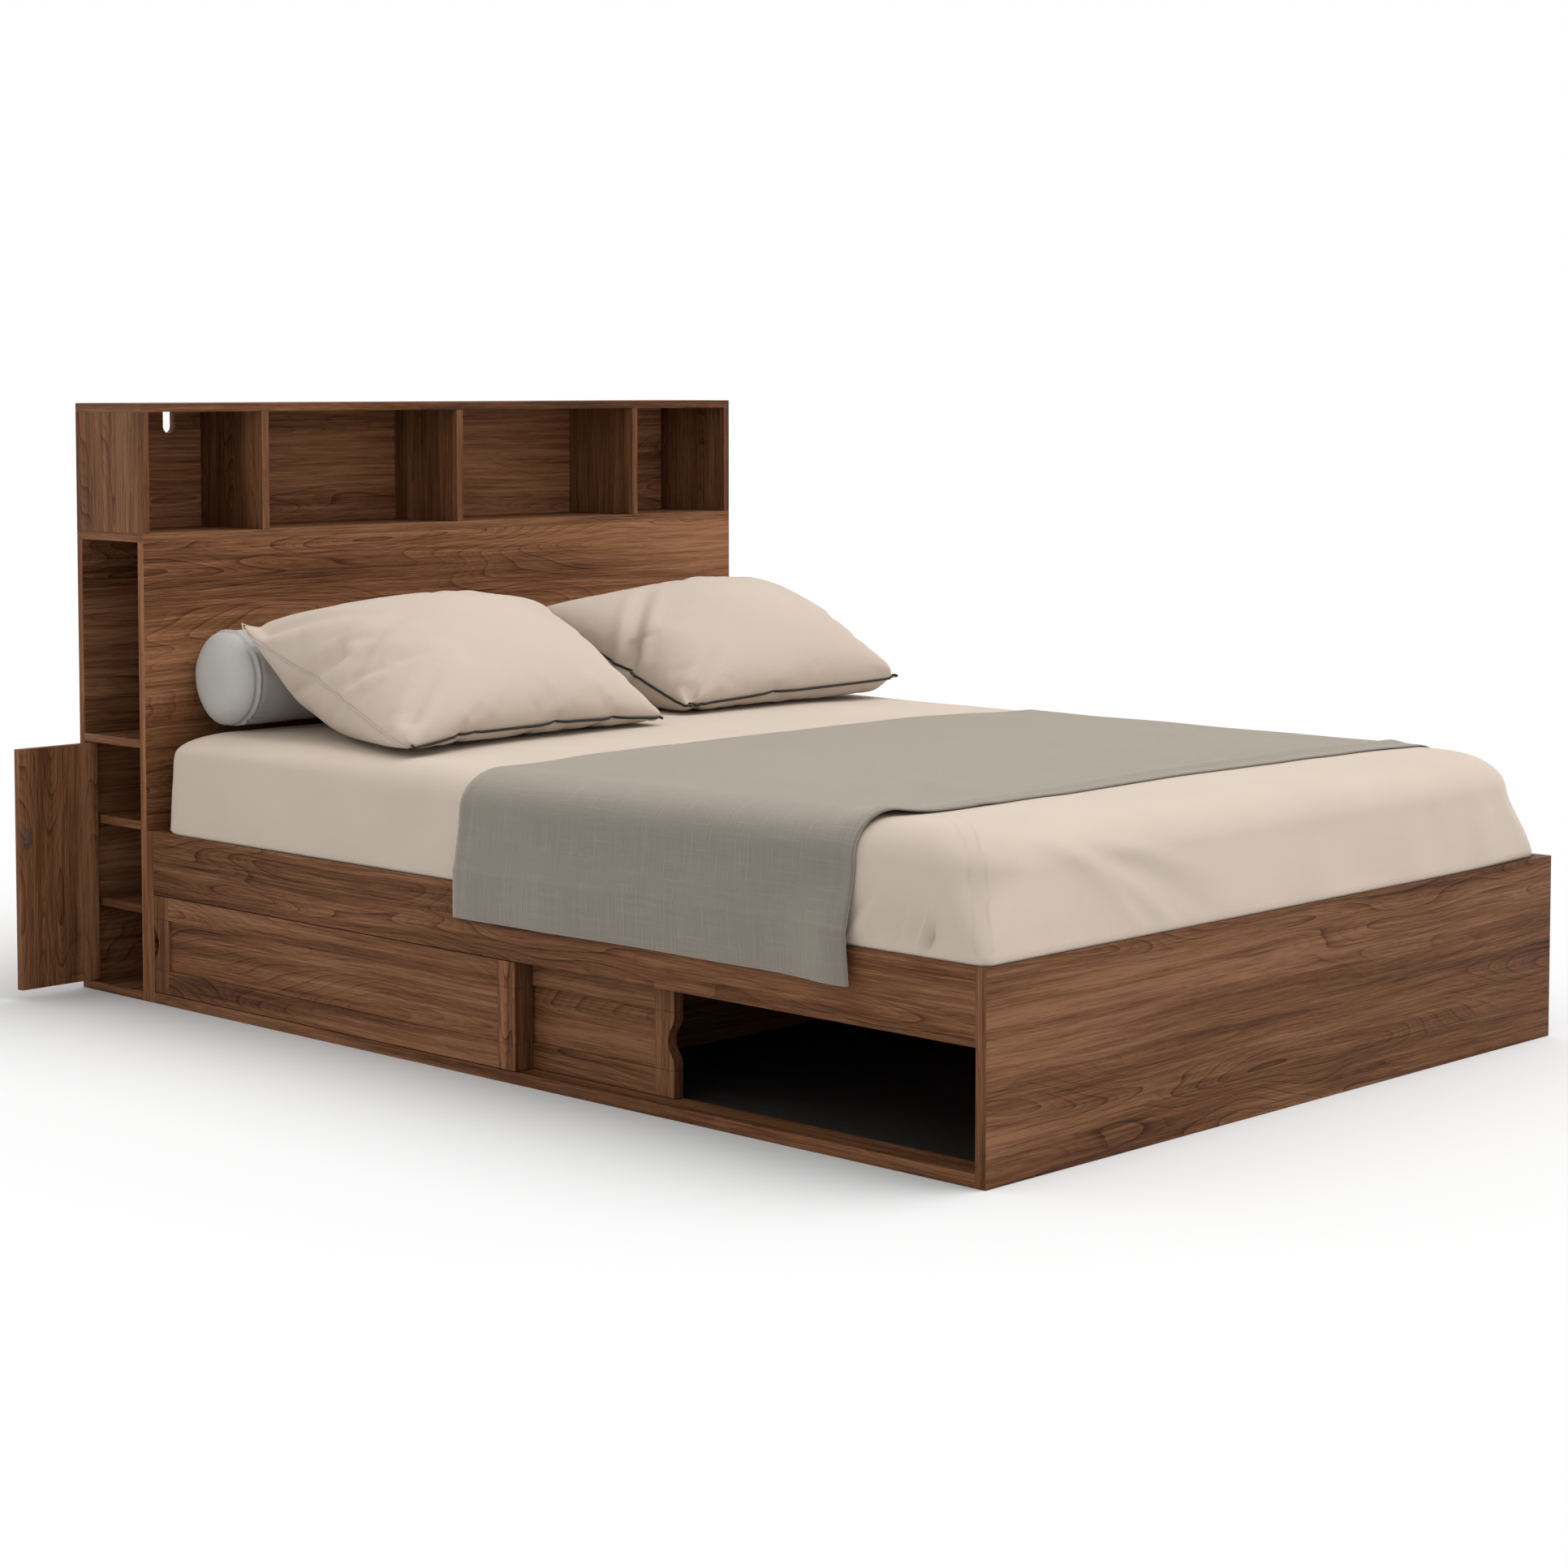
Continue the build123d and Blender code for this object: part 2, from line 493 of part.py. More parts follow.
BOLSTER_RADIUS = 90.0
BOLSTER_HALF = 690.0
with BuildPart() as bolster:
    with BuildSketch(Plane.YZ.offset(-BOLSTER_HALF)):
        with Locations((BASE_HEAD - CLEAR - BOLSTER_RADIUS, MATTRESS_TOP + CLEAR + BOLSTER_RADIUS)):
            Circle(BOLSTER_RADIUS)
    extrude(amount=2 * BOLSTER_HALF)
    fillet(bolster.edges().filter_by(GeomType.CIRCLE), 25.0)
save(bolster.part, "bolster")

# Each pillow lies on the mattress and rises towards the bolster.
PILLOW_WIDTH = 700.0
PILLOW_PROFILE = ((0, 20), (45, 2), (250, 2), (430, 110), (535, 205), (470, 240), (320, 220), (130, 115))
PILLOW_FRONT = FOOT + 1395.0
for name, centre in (("left", -358.0), ("right", 410.0)):
    with BuildPart() as pillow:
        with BuildSketch(Plane.YZ.offset(centre - PILLOW_WIDTH / 2)):
            with BuildLine():
                Polyline([(PILLOW_FRONT + y, MATTRESS_TOP + z) for y, z in PILLOW_PROFILE], close=True)
            make_face()
        extrude(amount=PILLOW_WIDTH)
    save(pillow.part, f"pillow_{name}")
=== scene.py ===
"""Walnut storage bed with a shelved headboard, sliding doors and bedding.

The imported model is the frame. Its boards and hardware are dressed where they
stand, and the soft goods are modelled here: mattress, fitted sheet, pillows,
bolster and throw.
"""

from __future__ import annotations

import json
import logging
import math
from dataclasses import dataclass
from enum import Enum
from typing import Callable

import bpy
import numpy as np
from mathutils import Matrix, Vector, noise

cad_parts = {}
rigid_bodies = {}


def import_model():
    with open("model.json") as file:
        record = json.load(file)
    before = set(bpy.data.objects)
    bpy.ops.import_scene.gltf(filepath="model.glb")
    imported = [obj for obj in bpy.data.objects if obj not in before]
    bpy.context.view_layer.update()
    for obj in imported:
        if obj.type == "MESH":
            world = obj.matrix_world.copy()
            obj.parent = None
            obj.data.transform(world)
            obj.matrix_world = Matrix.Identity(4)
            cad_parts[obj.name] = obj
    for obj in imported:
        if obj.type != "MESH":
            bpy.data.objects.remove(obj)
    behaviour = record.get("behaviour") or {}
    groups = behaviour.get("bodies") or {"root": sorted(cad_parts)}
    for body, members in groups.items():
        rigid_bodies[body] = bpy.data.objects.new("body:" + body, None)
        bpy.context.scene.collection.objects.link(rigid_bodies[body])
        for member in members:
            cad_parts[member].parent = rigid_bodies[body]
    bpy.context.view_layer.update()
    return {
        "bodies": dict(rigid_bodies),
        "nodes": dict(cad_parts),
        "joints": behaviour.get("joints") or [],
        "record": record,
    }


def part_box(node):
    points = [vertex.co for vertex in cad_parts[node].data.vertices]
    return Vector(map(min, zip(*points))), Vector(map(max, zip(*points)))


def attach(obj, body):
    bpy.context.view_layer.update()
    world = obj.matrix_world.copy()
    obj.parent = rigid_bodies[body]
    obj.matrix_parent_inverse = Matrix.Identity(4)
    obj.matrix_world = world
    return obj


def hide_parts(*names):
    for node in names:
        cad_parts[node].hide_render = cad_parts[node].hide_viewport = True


LOG = logging.getLogger("storage_bed")
BED = "bed"
QUARTER_TURN = math.pi / 2
FACING = 0.7  # how squarely a surface looks along an axis to count as facing it
SAME_PLACE = 1e-4  # shares of the pillow's width or depth that count as its edge
Point = tuple[float, float, float]
Colour = tuple[float, float, float]


class Axis(Enum):
    """A direction of the row frame: across the bed, along it, or up."""

    X = 0
    Y = 1
    Z = 2


# --------------------------------------------------------------------------
# Shader writing
# --------------------------------------------------------------------------


class Value:
    """A socket that carries a number, a vector or a colour, used in sums."""

    def __init__(self, shader: "Shader", socket: bpy.types.NodeSocket) -> None:
        """Wraps one output socket.

        Args:
            shader: The shader that the socket belongs to.
            socket: The output socket.
        """
        self.shader = shader
        self.socket = socket

    def _sum(self, operation: str, *terms: "Value | float") -> "Value":
        """Adds one Math node.

        Args:
            operation: The Math node's operation.
            *terms: Its inputs in order.

        Returns:
            The node's result.
        """
        return self.shader.node(
            "ShaderNodeMath", {"operation": operation}, dict(enumerate(terms))
        )

    def __add__(self, other: "Value | float") -> "Value":
        """Sum."""
        return self._sum("ADD", self, other)

    __radd__ = __add__

    def __mul__(self, other: "Value | float") -> "Value":
        """Product."""
        return self._sum("MULTIPLY", self, other)

    __rmul__ = __mul__

    def __sub__(self, other: "Value | float") -> "Value":
        """Difference."""
        return self._sum("SUBTRACT", self, other)

    def __rsub__(self, other: "Value | float") -> "Value":
        """Difference, from a plain number."""
        return self._sum("SUBTRACT", other, self)

    def __truediv__(self, other: "Value | float") -> "Value":
        """Quotient."""
        return self._sum("DIVIDE", self, other)

    def __pow__(self, other: "Value | float") -> "Value":
        """Power."""
        return self._sum("POWER", self, other)

    def __abs__(self) -> "Value":
        """Size without sign."""
        return self._sum("ABSOLUTE", self)

    def __gt__(self, other: "Value | float") -> "Value":
        """1 where this is more than the other, else 0."""
        return self._sum("GREATER_THAN", self, other)

    def fract(self) -> "Value":
        """The part after the decimal point."""
        return self._sum("FRACT", self)

    def sine(self) -> "Value":
        """Sine of an angle in radians."""
        return self._sum("SINE", self)

    def span(self, low: float, high: float) -> "Value":
        """Stretches low..high to a smooth 0..1.

        Args:
            low: The value that becomes 0.
            high: The value that becomes 1.

        Returns:
            The stretched value, clamped.
        """
        return self.shader.node(
            "ShaderNodeMapRange",
            {"interpolation_type": "SMOOTHSTEP", "clamp": True},
            {"Value": self, "From Min": low, "From Max": high},
        )


class Shader:
    """A material under construction."""

    def __init__(self, name: str) -> None:
        """Starts an empty material.

        Args:
            name: The material's name.
        """
        self.material = bpy.data.materials.new(name)
        self.material.use_nodes = True
        self.tree = self.material.node_tree
        self.tree.nodes.clear()

    def node(
        self,
        kind: str,
        settings: dict[str, object] | None = None,
        values: dict[int | str, object] | None = None,
        out: int | str = 0,
    ) -> Value:
        """Adds any node: its settings first, then its sockets.

        Args:
            kind: The node's type.
            settings: Its properties. "stops" fills a colour ramp.
            values: Numbers, tuples or links for its input sockets.
            out: Which output to return.

        Returns:
            The chosen output.
        """
        made = self.tree.nodes.new(kind)
        for key, setting in (settings or {}).items():
            if key == "stops":
                ramp = made.color_ramp
                while len(ramp.elements) < len(setting):
                    ramp.elements.new(0.5)
                for stop, (place, colour) in zip(ramp.elements, setting):
                    stop.position = place
                    stop.color = (*colour, 1.0)
            else:
                setattr(made, key, setting)
        for key, value in (values or {}).items():
            if isinstance(value, Value):
                self.tree.links.new(value.socket, made.inputs[key])
            else:
                made.inputs[key].default_value = value
        return Value(self, made.outputs[out] if len(made.outputs) else None)

    def parts(self, vector: Value) -> tuple[Value, Value, Value]:
        """Splits a vector in its three numbers.

        Args:
            vector: The vector.

        Returns:
            Its X, Y and Z.
        """
        apart = self.node("ShaderNodeSeparateXYZ", None, {0: vector})
        outputs = apart.socket.node.outputs
        return tuple(Value(self, outputs[i]) for i in range(3))

    def vector(self, x: Value, y: Value, z: Value) -> Value:
        """Joins three numbers in a vector."""
        return self.node("ShaderNodeCombineXYZ", None, {0: x, 1: y, 2: z})

    def object_place(self) -> Value:
        """The place on the piece, in metres."""
        return self.node("ShaderNodeTexCoord", out="Object")

    def object_normal(self) -> Value:
        """The way the surface faces, in the piece's own frame."""
        return self.node("ShaderNodeTexCoord", out="Normal")

    def cloth_place(self) -> Value:
        """The place on the flat cloth, in metres."""
        return self.node("ShaderNodeTexCoord", out="UV")

    def noise(
        self, place: Value, scale: Point, detail: float = 2.0, rough: float = 0.5
    ) -> Value:
        """Smooth noise, stretched by a scale on each axis.

        Args:
            place: Where to read it.
            scale: Features per metre on each axis.
            detail: Octaves beyond the first.
            rough: How strong each octave is.

        Returns:
            A number near 0.5, from 0 to 1.
        """
        stretched = self.node("ShaderNodeMapping", None, {0: place, "Scale": scale})
        return self.node(
            "ShaderNodeTexNoise",
            {"noise_dimensions": "3D"},
            {"Vector": stretched, "Scale": 1.0, "Detail": detail, "Roughness": rough},
        )

    def mix(self, share: Value, first: Colour | Value, second: Colour | Value) -> Value:
        """Blends two colours.

        Args:
            share: 0 gives the first, 1 the second.
            first: A colour.
            second: Another colour.

        Returns:
            The blend.
        """
        full = [
            c if isinstance(c, Value) else (*c, 1.0) for c in (first, second)
        ]
        return self.node(
            "ShaderNodeMix",
            {"data_type": "RGBA"},
            {0: share, 6: full[0], 7: full[1]},
            out=2,
        )

    def choose(self, share: Value, first: Value, second: Value) -> Value:
        """Blends two vectors."""
        return self.node(
            "ShaderNodeMix",
            {"data_type": "VECTOR"},
            {0: share, 4: first, 5: second},
            out=1,
        )

    def bump(self, height: Value, depth: float, strength: float = 1.0) -> Value:
        """A surface normal from a height, with the depth in metres."""
        return self.node(
            "ShaderNodeBump",
            None,
            {"Height": height, "Distance": depth, "Strength": strength},
        )

    def finish(self, **sockets: object) -> bpy.types.Material:
        """Ends the material with one Principled shader.

        Args:
            **sockets: Socket names, with _ for a space, and their values.

        Returns:
            The finished material.
        """
        values = {key.replace("_", " "): value for key, value in sockets.items()}
        surface = self.node("ShaderNodeBsdfPrincipled", None, values)
        self.node("ShaderNodeOutputMaterial", None, {"Surface": surface})
        return self.material


# --------------------------------------------------------------------------
# Finishes
# --------------------------------------------------------------------------


def toned(colour: Colour, factor: float, lift: float = 0.0) -> Colour:
    """A colour made lighter or darker by a factor, then lifted."""
    return tuple(channel * factor + lift for channel in colour)


def drawn_out(along: Axis, across: float, lengthwise: float) -> Point:
    """A noise scale that is fine across an axis and coarse along it."""
    return tuple(lengthwise if axis is along else across for axis in Axis)


@dataclass(frozen=True)
class Walnut:
    """Walnut-faced board: flat-sawn figure on the faces, plain edge banding.

    Attributes:
        name: Material name.
        grain: The way the grain runs.
        face: The axis that the broad faces look along.
        seed: Moves the figure, so that no two boards match.
        stiles: Centre and half length of the rails, where uprights with
            upright grain stand beyond them; None on a plain board.
        tone_and_painted_light: Overall lightness, on some boards partly painted light
            and shade.
    """

    name: str
    grain: Axis
    face: Axis
    seed: float
    stiles: tuple[float, float] | None = None
    tone_and_painted_light: float = 1.0

    def material(self) -> bpy.types.Material:
        """Writes the material.

        Returns:
            The finished material.
        """
        s = Shader(self.name)
        place = s.parts(s.object_place())
        facing = s.parts(s.object_normal())
        across = Axis(3 - self.grain.value - self.face.value)
        u, v, w = (
            place[self.grain.value],
            place[across.value],
            place[self.face.value],
        )
        along = s.vector(u, v, w)
        if self.stiles:
            middle, half = self.stiles
            upright = abs(place[Axis.Y.value] - middle) > half
            along = s.choose(upright, along, s.vector(v, u, w + 0.4))
        end = abs(facing[self.grain.value]) > FACING
        edge = 1.0 - (abs(facing[self.face.value]) > FACING)
        lie = s.choose(end, along, s.vector(v, w, u))
        lie = s.node(
            "ShaderNodeVectorMath",
            {"operation": "ADD"},
            {0: lie, 1: (self.seed * 3.17, self.seed * 1.71, self.seed * 0.93)},
        )
        x, y, z = s.parts(lie)
        # The figure: growth rings cut lengthwise, bent by a slow sway.
        sway = s.noise(lie, (2.0, 7.0, 7.0), 2.0, 0.5)
        bent = s.vector(x, y + (sway - 0.5) * 0.06, z)
        lean = s.vector(x, y + (sway - 0.5) * 0.022, z)
        field = s.noise(bent, (0.75, 5.5, 5.5), 2.0, 0.45)
        phase = field * 40.0 + y * 9.0
        ring = phase.fract() ** 5.0
        fine = (phase * 3.0).fract() ** 3.0
        shown = s.noise(lie, (1.0, 7.0, 7.0), 1.0).span(0.38, 0.60)
        # The wood's own lightness: from broad bands down to single fibres and open
        # pores.
        broad = s.noise(bent, (0.6, 9.0, 9.0), 2.0).span(0.3, 0.7)
        band = s.noise(lean, (1.5, 62.0, 62.0), 5.0, 0.68)
        streak = s.noise(lean, (7.0, 330.0, 330.0), 4.0, 0.7)
        fibre = s.noise(lie, (26.0, 900.0, 900.0), 2.0, 0.6)
        pore = s.noise(lie, (45.0, 1100.0, 1100.0), 1.0).span(0.60, 0.68)
        figure = (ring * 0.33 + fine * 0.18) * (shown * 0.9 + 0.1) * (1.0 - edge * 0.8)
        shade = (
            0.645
            + (broad - 0.5) * 0.42
            + (band - 0.5) * 1.45
            + (streak - 0.5) * 1.35
            + (fibre - 0.5) * 0.60
            - figure
            - pore * 0.12
            - edge * 0.10
        )
        tones_and_painted_light = (
            (0.0, (0.036, 0.0135, 0.0060)),
            (0.3, (0.084, 0.0335, 0.0145)),
            (0.6, (0.142, 0.0600, 0.0270)),
            (1.0, (0.235, 0.1120, 0.0560)),
        )
        # The lightness factor scales the whole ramp, which paints light and shade onto
        # some boards.
        stops = [(stop, toned(colour, self.tone_and_painted_light)) for stop, colour in tones_and_painted_light]
        colour = s.node("ShaderNodeValToRGB", {"stops": stops}, {0: shade})
        height = fibre * 0.5 + streak * 0.3 - pore
        return s.finish(
            Base_Color=colour,
            Roughness=0.46 + (streak - 0.5) * 0.25 + pore * 0.2,
            Normal=s.bump(height, 0.00012, 0.6),
            Specular_IOR_Level=0.06,
        )


@dataclass(frozen=True)
class PlainBoard:
    """Painted or plain board with a faint grain.

    Attributes:
        name: Material name.
        dark: Colour in the hollows of the grain.
        light: Colour between them.
        grain: The way the grain runs.
        gloss: Roughness.
    """

    name: str
    dark: Colour
    light: Colour
    grain: Axis
    gloss: float

    def material(self) -> bpy.types.Material:
        """Writes the material.

        Returns:
            The finished material.
        """
        s = Shader(self.name)
        place = s.object_place()
        streak = s.noise(place, drawn_out(self.grain, 120.0, 3.0), 3.0, 0.6)
        cloud = s.noise(place, (4.0, 4.0, 4.0), 2.0)
        share = (streak * 0.7 + cloud * 0.3).span(0.35, 0.65)
        return s.finish(
            Base_Color=s.mix(share, self.dark, self.light),
            Roughness=self.gloss + (cloud - 0.5) * 0.12,
            Normal=s.bump(streak, 0.0001, 0.5),
            Specular_IOR_Level=0.3,
        )


@dataclass(frozen=True)
class Steel:
    """Bare or plated steel with fine brushing and dull patches.

    Attributes:
        name: Material name.
        colour: Metal colour.
        brushed: The way the brushing runs.
    """

    name: str
    colour: Colour
    brushed: Axis

    def material(self) -> bpy.types.Material:
        """Writes the material.

        Returns:
            The finished material.
        """
        s = Shader(self.name)
        place = s.object_place()
        brush = s.noise(place, drawn_out(self.brushed, 900.0, 30.0), 2.0)
        patch = s.noise(place, (60.0, 60.0, 60.0), 2.0)
        dull = toned(self.colour, 0.72)
        return s.finish(
            Base_Color=s.mix(patch.span(0.35, 0.65), dull, self.colour),
            Metallic=1.0,
            Roughness=0.30 + (brush - 0.5) * 0.25 + (patch - 0.5) * 0.2,
            Normal=s.bump(brush, 0.00005, 0.5),
        )


@dataclass(frozen=True)
class Moulded:
    """Moulded plastic with a faint spark texture.

    Attributes:
        name: Material name.
        colour: Plastic colour.
    """

    name: str
    colour: Colour

    def material(self) -> bpy.types.Material:
        """Writes the material.

        Returns:
            The finished material.
        """
        s = Shader(self.name)
        place = s.object_place()
        grit = s.noise(place, (1400.0, 1400.0, 1400.0), 2.0)
        wear = s.noise(place, (35.0, 35.0, 35.0), 3.0)
        worn = toned(self.colour, 1.5, 0.004)
        return s.finish(
            Base_Color=s.mix(wear.span(0.5, 0.75), self.colour, worn),
            Roughness=0.42 + (wear - 0.5) * 0.2,
            Normal=s.bump(grit, 0.00008, 0.5),
        )


@dataclass(frozen=True)
class Cloth:
    """Woven cloth.

    Attributes:
        name: Material name.
        colour: Yarn colour.
        thread: Threads per metre each way.
        heather: How far single threads differ in lightness.
        slub: Strength of the uneven, thicker threads.
        flat: True where the weave follows the cloth's own UV map.
        sheen: Soft light at grazing angles.
        depth: Height of the weave in metres.
    """

    name: str
    colour: Colour
    thread: float
    heather: float
    slub: float
    flat: bool = True
    sheen: float = 0.15
    depth: float = 0.0002

    def material(self) -> bpy.types.Material:
        """Writes the material.

        Returns:
            The finished material.
        """
        s = Shader(self.name)
        place = s.cloth_place() if self.flat else s.object_place()
        x, y, _ = s.parts(place)
        t = self.thread
        turn = 2.0 * math.pi * t
        weave = (x * turn).sine() * (y * turn).sine()
        warp = s.noise(place, (t * 0.55, t * 0.02, t * 0.02), 2.0, 0.6)
        weft = s.noise(place, (t * 0.02, t * 0.55, t * 0.02), 2.0, 0.6)
        cloud = s.noise(place, (5.0, 5.0, 5.0), 3.0, 0.55)
        slubs = (warp.span(0.56, 0.72) + weft.span(0.56, 0.72)) * self.slub
        yarn = (warp + weft - 1.0) * self.heather
        light = 0.5 + yarn + (cloud - 0.5) * 0.35 + slubs * 0.6 + weave * 0.06
        height = weave * 0.5 + (warp + weft) * 0.8 + slubs
        return s.finish(
            Base_Color=s.mix(light, toned(self.colour, 0.80), toned(self.colour, 1.20)),
            Roughness=0.82 + (cloud - 0.5) * 0.1,
            Normal=s.bump(height, self.depth, 0.7),
            Specular_IOR_Level=0.2,
            Sheen_Weight=self.sheen,
            Sheen_Tint=(1.0, 0.88, 0.72, 1.0),
            Sheen_Roughness=0.5,
        )


SHEET_CLOTH = Cloth("sheet_cotton", (0.495, 0.415, 0.345), 900.0, 0.10, 0.0)
TICK = Cloth("mattress_tick", (0.6, 0.59, 0.56), 500.0, 0.2, 0.1, flat=False)
PILLOW_COTTON = Cloth("pillow_cotton", (0.47, 0.39, 0.325), 900.0, 0.10, 0.0)
PIPING_CORD = Cloth("piping_cord", (0.016, 0.015, 0.014), 700.0, 0.2, 0.0, flat=False)
BOLSTER_CLOTH = Cloth("bolster_cloth", (0.43, 0.425, 0.395), 700.0, 0.2, 0.1)
THROW_WEAVE = Cloth(
    "throw_weave", (0.170, 0.153, 0.133), 480.0, 0.7, 0.40, sheen=0.7, depth=0.0008
)


# --------------------------------------------------------------------------
# Mesh helpers
# --------------------------------------------------------------------------


def places_of(piece: bpy.types.Object) -> np.ndarray:
    """Reads a mesh's vertices.

    Args:
        piece: A mesh object.

    Returns:
        One row of three numbers for each vertex.
    """
    flat = np.empty(len(piece.data.vertices) * 3)
    piece.data.vertices.foreach_get("co", flat)
    return flat.reshape(-1, 3)


def move_to(piece: bpy.types.Object, places: np.ndarray) -> None:
    """Writes a mesh's vertices.

    Args:
        piece: A mesh object.
        places: One row of three numbers for each vertex.
    """
    piece.data.vertices.foreach_set("co", np.ascontiguousarray(places).ravel())
    piece.data.update()


def alone(piece: bpy.types.Object) -> None:
    """Makes a piece the only selected one, and active.

    Args:
        piece: The piece.
    """
    bpy.ops.object.select_all(action="DESELECT")
    piece.select_set(True)
    bpy.context.view_layer.objects.active = piece


def grid(name: str, columns: int, rows: int) -> bpy.types.Object:
    """Adds a flat unit grid, at 0..1 on both axes.

    Args:
        name: The piece's name.
        columns: Cells along X.
        rows: Cells along Y.

    Returns:
        The grid.
    """
    bpy.ops.object.select_all(action="DESELECT")
    bpy.ops.mesh.primitive_grid_add(
        x_subdivisions=columns, y_subdivisions=rows, size=1.0
    )
    made = bpy.context.active_object
    made.name = made.data.name = name
    move_to(made, places_of(made) + np.array([0.5, 0.5, 0.0]))
    return made


def edit(piece: bpy.types.Object, *steps: Callable[[], object]) -> None:
    """Runs edit-mode operators on the whole of a piece.

    Args:
        piece: The piece.
        *steps: Calls to make, in order.
    """
    alone(piece)
    bpy.ops.object.mode_set(mode="EDIT")
    for step in steps:
        bpy.ops.mesh.select_all(action="SELECT")
        step()
    bpy.ops.object.mode_set(mode="OBJECT")


def weld(piece: bpy.types.Object, reach: float = 1e-5) -> None:
    """Merges doubled vertices and turns all faces outwards."""
    edit(
        piece,
        lambda: bpy.ops.mesh.remove_doubles(threshold=reach),
        lambda: bpy.ops.mesh.normals_make_consistent(inside=False),
    )


def bake_in(piece: bpy.types.Object, kind: str, **settings: object) -> None:
    """Adds a modifier and applies it.

    Args:
        piece: The piece.
        kind: The modifier's type.
        **settings: Its properties.
    """
    alone(piece)
    modifier = piece.modifiers.new(kind.title(), kind)
    for key, value in settings.items():
        setattr(modifier, key, value)
    bpy.ops.object.modifier_apply(modifier=modifier.name)


def smooth(piece: bpy.types.Object) -> None:
    """Shades a piece smooth."""
    alone(piece)
    bpy.ops.object.shade_smooth()


def dress(piece: bpy.types.Object, material: bpy.types.Material) -> None:
    """Gives a piece one material."""
    piece.data.materials.clear()
    piece.data.materials.append(material)


def scale_uv(piece: bpy.types.Object, width: float, length: float) -> None:
    """Stretches a unit UV map to the cloth's size.

    Args:
        piece: The piece with the map.
        width: Size along U in metres.
        length: Size along V in metres.
    """
    layer = piece.data.uv_layers.active.data
    flat = np.empty(len(layer) * 2)
    layer.foreach_get("uv", flat)
    flat = flat.reshape(-1, 2) * (width, length)
    layer.foreach_set("uv", flat.ravel())


def ripple(places: np.ndarray, scale: Point, seed: float) -> np.ndarray:
    """Reads smooth noise at many places.

    Args:
        places: Where to read it, in metres.
        scale: Features per metre on each axis.
        seed: Moves the noise.

    Returns:
        One number for each place, about -0.7 to 0.7.
    """
    shifted = places * np.array(scale) + seed
    return np.array([noise.noise(Vector(row)) for row in shifted])


def bell(distance: np.ndarray, width: float) -> np.ndarray:
    """A smooth bump, 1 at 0 and fading over a width."""
    return np.exp(-((distance / width) ** 2))


def ease(value: np.ndarray, low: float, high: float) -> np.ndarray:
    """A smooth step from 0 at low to 1 at high."""
    t = np.clip((value - low) / (high - low), 0.0, 1.0)
    return t * t * (3.0 - 2.0 * t)


# --------------------------------------------------------------------------
# Boards and hardware of the frame
# --------------------------------------------------------------------------


@dataclass
class Carcass:
    """Every hard CAD node, dressed in its own finish.

    Attributes:
        stile: Width of a sliding door's upright.
        seed_step: How far the figure moves from one node to the next.
        tones_and_painted_light: How light some boards are, by the start of their names:
            partly their own colour, partly painted light and shade.
        soft: Nodes that the bedding replaces.
        steel: Starts of the names of steel nodes.
    """

    frame: dict
    stile: float = 0.045
    seed_step: float = 0.618
    # Board lightness, partly the boards' own colour and partly painted light and shade:
    # the headboard front and the cubby backs in the niches are painted lighter, the
    # footboard darker.
    tones_and_painted_light: tuple[tuple[str, float], ...] = (
        ("headboard_front", 1.28),
        ("cubby_back", 1.43),
        ("outer_door", 1.07),
        ("inner_door", 0.93),
        ("footboard", 0.90),
    )
    soft: tuple[str, ...] = (
        "mattress",
        "pillow_left",
        "pillow_right",
        "bolster",
        "throw",
    )
    steel: tuple[str, ...] = (
        "strike",
        "pivot_pins",
        "corner",
        "slat_screws",
        "shelf_pins",
    )

    def dress_all(self) -> None:
        """Gives each hard node its material."""
        for number, (name, node) in enumerate(sorted(self.frame["nodes"].items())):
            if name in self.soft:
                continue
            dress(node, self.finish_of(name, number).material())
            LOG.info("dressed %s", name)

    def finish_of(
        self, name: str, number: int
    ) -> Walnut | PlainBoard | Steel | Moulded:
        """Chooses a node's finish.

        Args:
            name: The node's name.
            number: Its place in the list, which moves its figure.

        Returns:
            The finish.
        """
        low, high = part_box(name)
        sides = [high[i] - low[i] for i in range(3)]
        longest, thinnest = Axis(int(np.argmax(sides))), Axis(int(np.argmin(sides)))
        if name.startswith("floor_panel"):
            return PlainBoard(
                name + "_black", (0.016, 0.014, 0.014), (0.030, 0.027, 0.027),
                Axis.Y, 0.55,
            )
        if name == "bed_slats":
            return PlainBoard(
                name + "_wood", (0.36, 0.24, 0.13), (0.52, 0.38, 0.23), Axis.X, 0.6
            )
        if name.startswith(self.steel):
            return Steel(name + "_steel", (0.52, 0.51, 0.49), Axis.Z)
        if name.endswith("glides") or name in ("pivot_bushes", "magnet_catches"):
            return Moulded(name + "_plastic", (0.012, 0.010, 0.009))
        stiles = None
        if name.endswith("_frame"):
            middle, half = (low[1] + high[1]) / 2, (high[1] - low[1]) / 2
            stiles = (middle, half - self.stile)
        seed = 1.0 + number * self.seed_step
        # Painted light and shade: some boards are lightened or darkened by name.
        tone_and_painted_light = next((t for start, t in self.tones_and_painted_light if name.startswith(start)), 1.0)
        return Walnut(name + "_walnut", longest, thinnest, seed, stiles, tone_and_painted_light)


# --------------------------------------------------------------------------
# Bedding
# --------------------------------------------------------------------------


